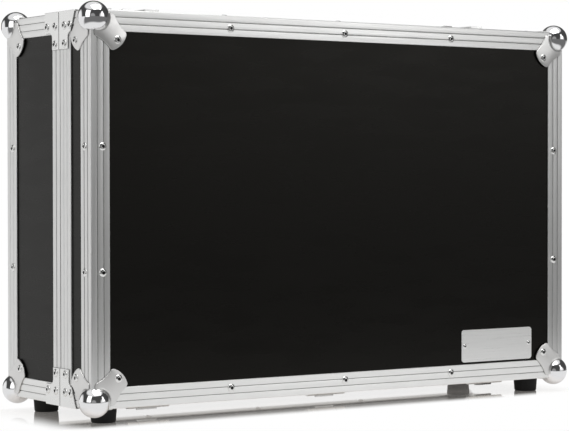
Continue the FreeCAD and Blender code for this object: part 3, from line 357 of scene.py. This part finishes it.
def extrude(shell, section, origin, along, across, inward, length, mitre):
    """Adds one extrusion to a mesh. The section is a closed loop of (across, inward), and mitre gives the
    trim of a point of it at the start and at the end. The floors of its lines take the second finish,
    a dark one that paints shade into them."""
    uv = shell.loops.layers.uv.verify()
    origin, along, across, inward = Vector(origin), Vector(along), Vector(across), Vector(inward)
    rings, walked = [[], []], [0.0]
    for first, second in zip(section, section[1:] + section[:1]):
        walked.append(walked[-1] + math.dist(first, second))
    for a, b in section:
        start, end = mitre(a, b)
        for ring, at in zip(rings, (start, length - end)):
            ring.append((shell.verts.new(origin + across * a + inward * b + along * at), at))
    count = len(section)
    faces = []
    for index in range(count):
        following = (index + 1) % count
        corners = [(rings[0][index], walked[index]), (rings[0][following], walked[index + 1]),
                   (rings[1][following], walked[index + 1]), (rings[1][index], walked[index])]
        face = shell.faces.new([vertex for (vertex, _), _ in corners])
        for loop, ((_, at), round_at) in zip(face.loops, corners):
            loop[uv].uv = (at, round_at)
        depths = [min(section[one]) for one in (index, following)]
        if min(depths) > line_depth * line_floor and max(depths) < line_depth:
            face.material_index = 1
        faces.append(face)
    for ring in rings:
        faces.append(shell.faces.new([vertex for vertex, _ in ring]))
    bmesh.ops.triangulate(shell, faces=faces[-2:], ngon_method="EAR_CLIP")


def finish_mesh(name, shell, sharp_above=32):
    """Writes a built shell to a mesh with outward faces, smooth but for edges sharper than an angle."""
    bmesh.ops.recalc_face_normals(shell, faces=shell.faces)
    mesh = bpy.data.meshes.new(name)
    shell.to_mesh(mesh)
    shell.free()
    mesh.polygons.foreach_set("use_smooth", [True] * len(mesh.polygons))
    mesh.set_sharp_from_angle(angle=math.radians(sharp_above))
    return mesh


def extrusion(name, shell, half, node):
    """An aluminium piece of a half, whose line floors are painted dark as shade, in place of a CAD node."""
    piece = new_piece(name, finish_mesh(name, shell), (satin_aluminium, shaded_line_aluminium), half)
    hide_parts(node)


def angle_section():
    """The section of an edge angle, from the free end of one leg round its outer corner to the other."""
    inner = line_depth + metal
    turn = [(leg_round - leg_round * math.cos(angle), leg_round - leg_round * math.sin(angle))
            for angle in (math.radians(degrees) for degrees in (0, 22, 45, 68, 90))]
    outside = lines(leg, leg_bands)
    other = [(depth, b) for b, depth in reversed(outside)]
    inside = [(leg - ease, inner), (inner + ease, inner), (inner, inner + ease), (inner, leg - ease),
              (inner - ease, leg), (ease, leg), (0.0, leg - ease)]
    return inside + other + turn + outside + [(leg - ease, 0.0), (leg, ease), (leg, inner - ease)]


def both_mitred(a, b):
    return max(a, b), max(a, b)


def start_mitred(a, b):
    return max(a, b), 0.0


x_along, y_along, z_along = Vector((1, 0, 0)), Vector((0, 1, 0)), Vector((0, 0, 1))
seam, seam_gap, lid_flange, base_flange = -0.030, 0.0006, 0.0238, 0.0172
lid_rim, base_rim = seam - seam_gap, seam + seam_gap

for half, face, toward, rim_flange in (("lid", lid_face, 1, lid_rim - lid_flange),
                                       ("base", back_face, -1, base_rim + base_flange)):
    into = y_along * toward
    shell = bmesh.new()
    for z, up in ((low_face, 1), (top_face, -1)):
        extrude(shell, angle_section(), (left, face, z), x_along, into, z_along * up,
                right - left, both_mitred)
    extrusion(half + "_long_angles", shell, half, half + "_long_edge_angles")
    shell = bmesh.new()
    for x, side in ((left, 1), (right, -1)):
        extrude(shell, angle_section(), (x, face, low_face), z_along, x_along * side, into,
                top_face - low_face, both_mitred)
    extrusion(half + "_upright_angles", shell, half, half + "_upright_edge_angles")
    shell = bmesh.new()
    for x, side in ((left, 1), (right, -1)):
        for z, up in ((low_face, 1), (top_face, -1)):
            extrude(shell, angle_section(), (x, face, z), into, x_along * side, z_along * up,
                    abs(rim_flange - face), start_mitred)
    extrusion(half + "_depth_angles", shell, half, half + "_depth_edge_angles")


# Tongue and groove extrusions run round the two rims. Each grips the edge of its plywood wall, and the
# base's tongue enters the lid's groove, which keeps the halves in line and the dust out.
plywood = 0.0095
wall_outer, wall_inner = line_depth + metal, line_depth + metal + plywood
web, lip, lip_reach = 0.0056, wall_inner + metal, 0.016
tongue, tongue_outer, tongue_inner, tongue_nose, tongue_ease = 0.0036, 0.005, 0.0068, 0.0003, 0.0004
groove, groove_outer, groove_inner = 0.0044, 0.0042, 0.0076


def rail_section(flange, bands, tongued):
    """The section of a rim rail: across runs into the half from the rim, inward from the outer face."""
    outer = [(0.0, ease), (ease, 0.0)] + lines(flange, bands) + [(flange - ease, 0.0), (flange, ease)]
    inner = [(flange, wall_outer), (web, wall_outer), (web, wall_inner),
             (lip_reach, wall_inner), (lip_reach, lip), (0.0, lip)]
    if tongued:
        shoulder = tongue_nose - tongue
        joint = [(0.0, tongue_inner), (shoulder, tongue_inner), (-tongue, tongue_inner - tongue_ease),
                 (-tongue, tongue_outer + tongue_ease), (shoulder, tongue_outer), (0.0, tongue_outer)]
    else:
        joint = [(0.0, groove_inner), (groove, groove_inner), (groove, groove_outer), (0.0, groove_outer)]
    return outer + inner + joint


def rail_mitred(a, b):
    return b, b


for half, rim, toward, flange, count, names in (
        ("lid", lid_rim, -1, lid_flange, 3, ("lid_long_groove_rails", "lid_upright_groove_rails")),
        ("base", base_rim, 1, base_flange, 2, ("base_long_tongue_rails", "base_upright_tongue_rails"))):
    section = rail_section(flange, count, half == "base")
    into = y_along * toward
    shell = bmesh.new()
    for z, up in ((low_face, 1), (top_face, -1)):
        extrude(shell, section, (left, rim, z), x_along, into, z_along * up,
                right - left, rail_mitred)
    extrusion(half + "_long_rails", shell, half, names[0])
    shell = bmesh.new()
    for x, side in ((left, 1), (right, -1)):
        extrude(shell, section, (x, rim, low_face), z_along, into, x_along * side,
                top_face - low_face, rail_mitred)
    extrusion(half + "_upright_rails", shell, half, names[1])


# Eight ball corners, pressed from 1.4 mm steel and chromed. A 35 mm ball stands round the corner of the
# case, and a fan-shaped leg lies on each of the three faces there, under a rivet or a foot's screw.
ball, ball_inset, sheet = 0.0175, 0.008, 0.0014
fold_end, notch, neck, tip_near, tip_far = 0.019, 0.004, 0.0288, 0.0255, 0.045
side_curve, end_curve, curve_steps, tip_round = 0.045, 0.025, 8, 0.0028
fillet, fillet_root, fillet_steps, same_spot = 0.0045, 0.0006, 26, 0.000001


def chrome_finish(name, colour, smoothest, roughest, shaded_crevices=False):
    finish, tree, surface = principled(name, colour, smoothest, 1.0)
    handled = grain(tree, add_node(tree, "TexCoord").outputs["Object"], 60.0, 4.0)
    tree.links.new(spread(tree, handled, smoothest, roughest), surface.inputs["Roughness"])
    # Painted shade darkens the colour where the piece meets others closely.
    if shaded_crevices:
        tree.links.new(painted_crevice_shade(tree, (*colour, 1)), surface.inputs["Base Color"])
    return finish


chrome = chrome_finish("polished_chrome", (0.92, 0.92, 0.93), 0.04, 0.07)
# The legs' colour takes painted shade in the crevices by the balls.
dull_chrome = chrome_finish("dull_chrome", (0.77, 0.765, 0.755), 0.28, 0.38, shaded_crevices=True)


def arc(start, end, radius, to_right):
    """Points from start up to, but without, end, on an arc that bulges to the way's right or its left."""
    start, end = Vector(start), Vector(end)
    chord = end - start
    side = Vector((-chord.y, chord.x)).normalized() * (1 if to_right else -1)
    centre = (start + end) / 2 + side * math.sqrt(radius ** 2 - chord.length_squared / 4)
    begin = math.atan2(start.y - centre.y, start.x - centre.x)
    sweep = math.atan2(end.y - centre.y, end.x - centre.x) - begin
    sweep = (sweep + math.pi) % (2 * math.pi) - math.pi
    angles = [begin + sweep * step / curve_steps for step in range(curve_steps)]
    return [centre + Vector((math.cos(angle), math.sin(angle))) * radius for angle in angles]


def pressed_leg(shell, turn):
    """Adds one fan leg: an outline raised by the sheet, with rounded tips and an eased rim."""
    near, far, fold = tip_near, tip_far, -sheet
    outline = [Vector(spot) for spot in ((fold, fold), (fold_end, fold), (fold_end, notch))]
    outline += arc((neck, notch), (far, near), side_curve, to_right=False)
    outline += arc((far, near), (near, far), end_curve, to_right=True)
    outline += arc((near, far), (notch, neck), side_curve, to_right=False)
    outline += [Vector(spot) for spot in ((notch, neck), (notch, fold_end), (fold, fold_end))]
    tips = [Vector(spot) for spot in ((far, near), (near, far), (neck, notch), (notch, neck))]
    rings = [[shell.verts.new((*point, level)) for point in outline] for level in (0.0, -sheet)]
    count = len(outline)
    uprights = []
    for index in range(count):
        following = (index + 1) % count
        shell.faces.new([rings[0][index], rings[0][following], rings[1][following], rings[1][index]])
        if min((outline[index] - tip).length for tip in tips) < same_spot:
            uprights.append(shell.edges.get((rings[0][index], rings[1][index])))
    for ring in rings:
        shell.faces.new(ring)
    made = bmesh.ops.bevel(shell, geom=uprights, offset=tip_round, segments=5, affect="EDGES", profile=0.5)
    points = set(rings[0] + rings[1]) | set(made["verts"])
    points = [point for point in points if point.is_valid]
    rim = {edge for point in points for edge in point.link_edges
           if all(abs(end.co.z + sheet) < same_spot for end in edge.verts)
           and not all(min(end.co.x, end.co.y) < -sheet + same_spot for end in edge.verts)}
    made = bmesh.ops.bevel(shell, geom=list(rim), offset=ease, segments=3, affect="EDGES", profile=0.5,
                           clamp_overlap=True)
    points = {point for point in points if point.is_valid} | set(made["verts"])
    bmesh.ops.transform(shell, matrix=turn, verts=list(points))


def cove(shell, turn):
    """Adds the small hollow curve in which a leg runs up into the ball."""
    depth = ball_inset + sheet + fillet
    ring = math.sqrt((ball + fillet) ** 2 - depth ** 2)
    steep = math.atan2(ring, depth)
    profile = [(ring - fillet * math.sin(steep * share), -sheet - fillet + fillet * math.cos(steep * share))
               for share in (0, 0.15, 0.3, 0.45, 0.6, 0.8, 1)]
    profile += [(profile[-1][0] - fillet_root, -sheet / 3), (ring, -sheet / 3)]
    first = math.asin((notch - ball_inset) / ring)
    last = math.pi / 2 - first
    rings = []
    for step in range(fillet_steps + 1):
        angle = first + (last - first) * step / fillet_steps
        across, up = math.cos(angle), math.sin(angle)
        rings.append([shell.verts.new((ball_inset + radius * across, ball_inset + radius * up, level))
                      for radius, level in profile])
    for one, two in zip(rings, rings[1:]):
        for index in range(len(profile)):
            following = (index + 1) % len(profile)
            shell.faces.new([one[index], one[following], two[following], two[index]])
    shell.faces.new(rings[0])
    shell.faces.new(rings[-1])
    bmesh.ops.transform(shell, matrix=turn, verts=[point for ring in rings for point in ring])


def corner_mesh():
    """One corner in its own axes, which run from the outer corner of the case along its three edges."""
    shell = bmesh.new()
    made = bmesh.ops.create_icosphere(shell, subdivisions=5, radius=ball)
    for point in made["verts"]:
        point.co += Vector((ball_inset, ball_inset, ball_inset))
        nearest = min(range(3), key=lambda axis: point.co[axis])
        point.co[nearest] = min(point.co[nearest], ease)
    face_planes = (Matrix(((1, 0, 0), (0, 1, 0), (0, 0, 1))), Matrix(((1, 0, 0), (0, 0, 1), (0, 1, 0))),
                   Matrix(((0, 0, 1), (0, 1, 0), (1, 0, 0))))
    ball_faces = set(shell.faces)
    for plane in face_planes:
        pressed_leg(shell, plane.to_4x4())
        cove(shell, plane.to_4x4())
    for face in shell.faces:
        face.material_index = 0 if face in ball_faces else 1
    mesh = bpy.data.meshes.new("corner_pattern")
    shell.to_mesh(mesh)
    shell.free()
    return mesh


def add_copy(shell, pattern, turn):
    """Adds a turned or mirrored copy of a mesh."""
    before = len(shell.verts)
    shell.from_mesh(pattern)
    shell.verts.ensure_lookup_table()
    bmesh.ops.transform(shell, matrix=turn, verts=shell.verts[before:])


corner_pattern = corner_mesh()
for half, face, toward in (("lid", lid_face, 1), ("base", back_face, -1)):
    shell = bmesh.new()
    for x, side in ((left, 1), (right, -1)):
        for z, up in ((low_face, 1), (top_face, -1)):
            mirrored = Matrix.Diagonal((side, toward, up, 1))
            add_copy(shell, corner_pattern, Matrix.Translation((x, face, z)) @ mirrored)
    name = half + "_corners"
    piece = new_piece(name, finish_mesh(name, shell, sharp_above=40), (chrome, dull_chrome), half)
    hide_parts(half + "_ball_corners")
bpy.data.meshes.remove(corner_pattern)


# Folded brackets stiffen the corners beside the seam: two on the lid's side and two on the base's at
# each long edge, cut from 1.4 mm steel sheet, bright zinc plated, with eased edges.
def zinc_finish():
    finish, tree, surface = principled("zinc_plate", (0.87, 0.87, 0.86), 0.27, 1.0)
    here = add_node(tree, "TexCoord").outputs["Object"]
    cloud = grain(tree, here, 38.0, 5.0)
    bright = tinted(tree, cloud, (0.8, 0.8, 0.79), (0.93, 0.93, 0.92))
    # Painted shade darkens the zinc where it meets other pieces closely.
    tree.links.new(painted_crevice_shade(tree, bright), surface.inputs["Base Color"])
    tree.links.new(spread(tree, cloud, 0.2, 0.34), surface.inputs["Roughness"])
    tree.links.new(embossed(tree, grain(tree, here, 900.0), 0.00002, 0.3), surface.inputs["Normal"])
    return finish


zinc = zinc_finish()


def dress(node, finish, width=0.0003):
    """Gives a CAD node its finish and eases its edges with modifiers, which leave its own points alone."""
    piece = frame["nodes"][node]
    piece.data.materials.clear()
    piece.data.materials.append(finish)
    piece.data.polygons.foreach_set("use_smooth", [True] * len(piece.data.polygons))
    piece.modifiers.new("weld", "WELD").merge_threshold = same_spot
    flatten = piece.modifiers.new("flatten", "DECIMATE")
    flatten.decimate_type = "DISSOLVE"
    flatten.angle_limit = math.radians(0.5)
    rounding = piece.modifiers.new("rounding", "BEVEL")
    rounding.width = width
    rounding.segments = 2
    rounding.limit_method = "ANGLE"
    rounding.angle_limit = math.radians(40)
    shading = piece.modifiers.new("shading", "WEIGHTED_NORMAL")
    shading.weight = 80
    shading.keep_sharp = False


for node in ("lid_seam_brackets", "base_seam_brackets"):
    dress(node, zinc, width=0.0004)


# Pop rivets hold the extrusions, corners, brackets, hinges, latches, dish and nameplate. Each has a
# domed steel head with the broken end of its mandrel down in a dark hole in the middle. The hole's
# wall and the mandrel's end are painted near-black: painted shade in the hole.
rivet_shape = [(0.0, 0.0), (1.0, 0.0), (1.0, 0.16), (0.965, 0.32), (0.89, 0.52), (0.78, 0.72),
               (0.64, 0.88), (0.54, 0.96), (0.47, 1.0), (0.42, 0.97), (0.4, 0.86), (0.395, 0.25),
               (0.24, 0.25), (0.22, 0.48), (0.12, 0.56), (0.0, 0.52)]
hole_from, rivet_sides = 10, 24
rivet_steel = chrome_finish("rivet_steel", (0.85, 0.85, 0.84), 0.05, 0.1)
# The hole's wall and the mandrel's end are near-black: painted shade in the hole.
mandrel_hole_shade = chrome_finish("mandrel_hole_shade", (0.02, 0.02, 0.02), 0.35, 0.5)


def loose_parts(node):
    """The points of each separate solid of a CAD node."""
    shell = bmesh.new()
    shell.from_mesh(frame["nodes"][node].data)
    bmesh.ops.remove_doubles(shell, verts=shell.verts, dist=same_spot)
    parts, seen = [], set()
    for start in shell.verts:
        if start in seen:
            continue
        part, fringe = [], [start]
        seen.add(start)
        while fringe:
            point = fringe.pop()
            part.append(point.co.copy())
            for edge in point.link_edges:
                other = edge.other_vert(point)
                if other not in seen:
                    seen.add(other)
                    fringe.append(other)
        parts.append(part)
    shell.free()
    return parts


def unit(axis):
    return Vector([1.0 if one == axis else 0.0 for one in range(3)])


def box_of(points):
    return (Vector([min(point[axis] for point in points) for axis in range(3)]),
            Vector([max(point[axis] for point in points) for axis in range(3)]))


def seat_of(points):
    """A small turned solid's seat, its direction from wide to narrow end, its radius and its height."""
    low, high = box_of(points)
    size, middle = high - low, (low + high) / 2
    axis = min(range(3), key=lambda one: size[one])

    away = [point - middle for point in points]
    below = max((offset - unit(axis) * offset[axis]).length for offset in away if offset[axis] < 0)
    above = max((offset - unit(axis) * offset[axis]).length for offset in away if offset[axis] > 0)
    up = below > above
    seat = middle.copy()
    seat[axis] = low[axis] if up else high[axis]
    return seat, unit(axis) * (1 if up else -1), max(below, above), size[axis]


def lathe(shell, profile, place, axis, sides, closed=False, second_from=None):
    """Turns a profile of (radius, height) round an axis from a place. Faces from one step of the profile on
    can take the second finish of the piece."""
    across = axis.orthogonal().normalized()
    along = axis.cross(across)
    rings = []
    for radius, height in profile:
        foot = place + axis * height
        turns = [2 * math.pi * step / sides for step in range(sides)]
        rings.append([shell.verts.new(foot + (across * math.cos(turn) + along * math.sin(turn)) * radius)
                      for turn in turns] if radius else [shell.verts.new(foot)])
    pairs = list(zip(rings, rings[1:]))
    if closed:
        pairs.append((rings[-1], rings[0]))
    for index, (one, two) in enumerate(pairs):
        for step in range(sides):
            following = (step + 1) % sides
            corners = [one[step % len(one)], one[following % len(one)],
                       two[following % len(two)], two[step % len(two)]]
            face = shell.faces.new(list(dict.fromkeys(corners)))
            if second_from is not None and index >= second_from:
                face.material_index = 1


def rivet_heads(node, half):
    """Builds the heads of one node on the seats of its CAD solids."""
    shell = bmesh.new()
    for points in loose_parts(node):
        seat, out, radius, height = seat_of(points)
        head = [(radius * share, height * rise) for share, rise in rivet_shape]
        lathe(shell, head, seat, out, rivet_sides, second_from=hole_from)
    name = node + "_heads"
    piece = new_piece(name, finish_mesh(name, shell, sharp_above=50), (rivet_steel, mandrel_hole_shade), half)
    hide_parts(node)


for node, half in (("lid_rivets", "lid"), ("base_rivets", "base"), ("lid_hinge_rivets", "lid"),
                   ("base_hinge_rivets", "base"), ("latch_plate_rivets", "base"),
                   ("latch_catch_rivets", "lid"), ("handle_dish_rivets", "base"),
                   ("nameplate_rivets", "lid")):
    rivet_heads(node, half)


# Four black rubber feet under the case, tapered, 18 mm high with the corner's leg above them. A pan-head
# screw in the deep recess of each goes up through the leg and the plywood.
def rubber_finish():
    finish, tree, surface = principled("black_rubber", (0.006, 0.006, 0.0062), 0.6)
    surface.inputs["Specular IOR Level"].default_value = 0.25
    here = add_node(tree, "TexCoord").outputs["Object"]
    tree.links.new(spread(tree, grain(tree, here, 70.0, 4.0), 0.5, 0.72), surface.inputs["Roughness"])
    tree.links.new(embossed(tree, grain(tree, here, 1400.0), 0.00005, 0.25), surface.inputs["Normal"])
    return finish


rubber = rubber_finish()
foot_top, foot_bottom, foot_tall, foot_ease, foot_sides = 0.015, 0.0138, 0.0166, 0.0004, 48
recess, recess_deep, recess_ease, screw_bore = 0.006, 0.007, 0.0007, 0.0021
foot_rim = [(foot_bottom + 0.0001, 0.0016), (foot_bottom - 0.0003, 0.0006), (foot_bottom - 0.0011, 0.0)]
foot_shape = [(screw_bore, foot_tall), (foot_top - foot_ease, foot_tall), (foot_top, foot_tall - foot_ease),
              *foot_rim, (recess + recess_ease, 0.0), (recess, recess_ease), (recess, recess_deep),
              (screw_bore, recess_deep)]

for half in ("lid", "base"):
    shell = bmesh.new()
    for points in loose_parts(half + "_feet"):
        low, high = box_of(points)
        spot = Vector(((low.x + high.x) / 2, (low.y + high.y) / 2, 0))
        lathe(shell, foot_shape, spot, unit(2), foot_sides, closed=True)
    name = half + "_rubber_feet"
    piece = new_piece(name, finish_mesh(name, shell, sharp_above=40), (rubber,), half)
    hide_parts(half + "_feet")
    dress(half + "_foot_screws", zinc)


# A bare plate of brushed aluminium low on the right of the lid's face, with rounded corners and a rivet
# at each end. It carries nothing.
def plate_finish():
    finish, tree, surface = principled("brushed_aluminium", (0.9, 0.9, 0.89), 0.34, 1.0)
    here = add_node(tree, "TexCoord").outputs["Object"]
    brushed = grain(tree, stretched(tree, here, (12, 3000, 3000)), 1.0, 6.0)
    silver = tinted(tree, brushed, (0.84, 0.84, 0.83), (0.96, 0.96, 0.95))
    tree.links.new(spread(tree, brushed, 0.27, 0.42), surface.inputs["Roughness"])
    tree.links.new(silver, surface.inputs["Base Color"])
    tree.links.new(embossed(tree, brushed, 0.00003, 0.4), surface.inputs["Normal"])
    return finish


dress("nameplate", plate_finish(), width=0.00025)


# Three stop hinges under the seam, bright zinc: two leaves of 1.6 mm round a 4.4 mm pin, with a lug on
# the lid's knuckle that stops the lid once it is open.
for node in ("lid_hinge_leaves", "base_hinge_leaves", "hinge_pins"):
    dress(node, zinc)


# A butterfly latch near each end of the top. Its cam carries the folding wing and moves in the slot of
# the hook plate, whose claw draws on the lip of the lid's catch.
for side in ("left", "right"):
    for part in ("latch_cam_", "latch_hook_", "latch_wing_"):
        dress(part + side, zinc, width=0.00025)
for node in ("latch_plates", "latch_catches"):
    dress(node, zinc, width=0.00025)


# The carrying handle: a steel bail that folds up on a rod, in a dish pressed into the top, with a
# rubber grip turned in shallow rings for the fingers.
grip_bore, grip_round, grip_nick, grip_sides = 0.00356, 0.0016, 0.0005, 40
ring_margin, ring_pitch, ring_depth = 0.006, 0.004, 0.0006

for node in ("handle_dish", "handle_bail", "handle_rod"):
    dress(node, zinc)


def grip_shape(length, outer):
    """The section of the grip along its axis, with rounded ends and a shallow ring about every 4 mm."""
    shape = [(grip_bore, 0.0), (outer - grip_round, 0.0), (outer - grip_nick, grip_nick), (outer, grip_round)]
    ringed = length - 2 * ring_margin
    count = round(ringed / ring_pitch)
    pitch = ringed / count
    for index in range(count):
        start = ring_margin + pitch * index
        shape += [(outer, start + pitch * 0.25), (outer - ring_depth, start + pitch * 0.4),
                  (outer - ring_depth, start + pitch * 0.6), (outer, start + pitch * 0.75)]
    return shape + [(outer, length - grip_round), (outer - grip_nick, length - grip_nick),
                    (outer - grip_round, length), (grip_bore, length)]


low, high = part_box("handle_grip")
grip_end = Vector((low.x, (low.y + high.y) / 2, (low.z + high.z) / 2))
shell = bmesh.new()
lathe(shell, grip_shape(high.x - low.x, (high.z - low.z) / 2), grip_end, unit(0), grip_sides, closed=True)
piece = new_piece("ringed_grip", finish_mesh("ringed_grip", shell, sharp_above=50), (rubber,), "handle")
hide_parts("handle_grip")


# The lining: a pad of open-cell foam on each face panel and a strip of it along each wall, cut from
# sheet and glued in. The top strip of the base is hollowed for the handle's dish.
foam_round, foam_step, foam_margin, foam_wave, wave_scale = 0.0022, 0.018, 0.00015, 0.0003, 22
dish_reach, dish_back, dish_level = 0.0692, 0.0697, 0.4412


def foam_finish():
    finish, tree, surface = principled("charcoal_foam", (0.03, 0.03, 0.032), 0.95)
    here = add_node(tree, "TexCoord").outputs["Object"]
    cells = add_node(tree, "TexVoronoi", [("Vector", here), ("Scale", 620.0)]).outputs["Distance"]
    charcoal = tinted(tree, grain(tree, here, 30.0, 4.0), (0.022, 0.022, 0.024), (0.038, 0.038, 0.041))
    tree.links.new(charcoal, surface.inputs["Base Color"])
    tree.links.new(embossed(tree, cells, 0.0006, 0.6), surface.inputs["Normal"])
    return finish


foam = foam_finish()


def foam_block(name, low, high):
    """A block of foam with rounded edges and a slightly uneven skin."""
    shell = bmesh.new()
    low, high = low + Vector.Fill(3, foam_margin), high - Vector.Fill(3, foam_margin)
    steps = []
    for start, end in zip(low, high):
        flat = end - start - 2 * foam_round
        count = max(1, round(flat / foam_step))
        inner = [start + foam_round + flat * step / count for step in range(count + 1)]
        steps.append([start, start + foam_round * 0.3] + inner + [end - foam_round * 0.3, end])
    for axis in range(3):
        across, up = (axis + 1) % 3, (axis + 2) % 3
        for level in (low[axis], high[axis]):
            rows = []
            for a in steps[across]:
                row = []
                for b in steps[up]:
                    spot = Vector((0, 0, 0))
                    spot[axis], spot[across], spot[up] = level, a, b
                    row.append(shell.verts.new(spot))
                rows.append(row)
            for one, two in zip(rows, rows[1:]):
                for index in range(len(one) - 1):
                    shell.faces.new([one[index], two[index], two[index + 1], one[index + 1]])
    bmesh.ops.remove_doubles(shell, verts=shell.verts, dist=same_spot)
    for point in shell.verts:
        core = Vector([min(max(value, start + foam_round), end - foam_round)
                       for value, start, end in zip(point.co, low, high)])
        wave = foam_wave * (noise.noise(point.co * wave_scale) - 1) / 2
        point.co = core + (point.co - core).normalized() * (foam_round + wave)
        if abs(point.co.x) < dish_reach and point.co.y < dish_back and point.co.z > dish_level:
            point.co.z = dish_level
    return finish_mesh(name, shell, sharp_above=60)


for half in ("lid", "base"):
    for node in (half + "_foam_pad", half + "_foam_walls"):
        for index, points in enumerate(loose_parts(node), start=1):
            name = node + "_%d" % index
            piece = new_piece(name, foam_block(name, *box_of(points)), (foam,), half)
            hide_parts(node)
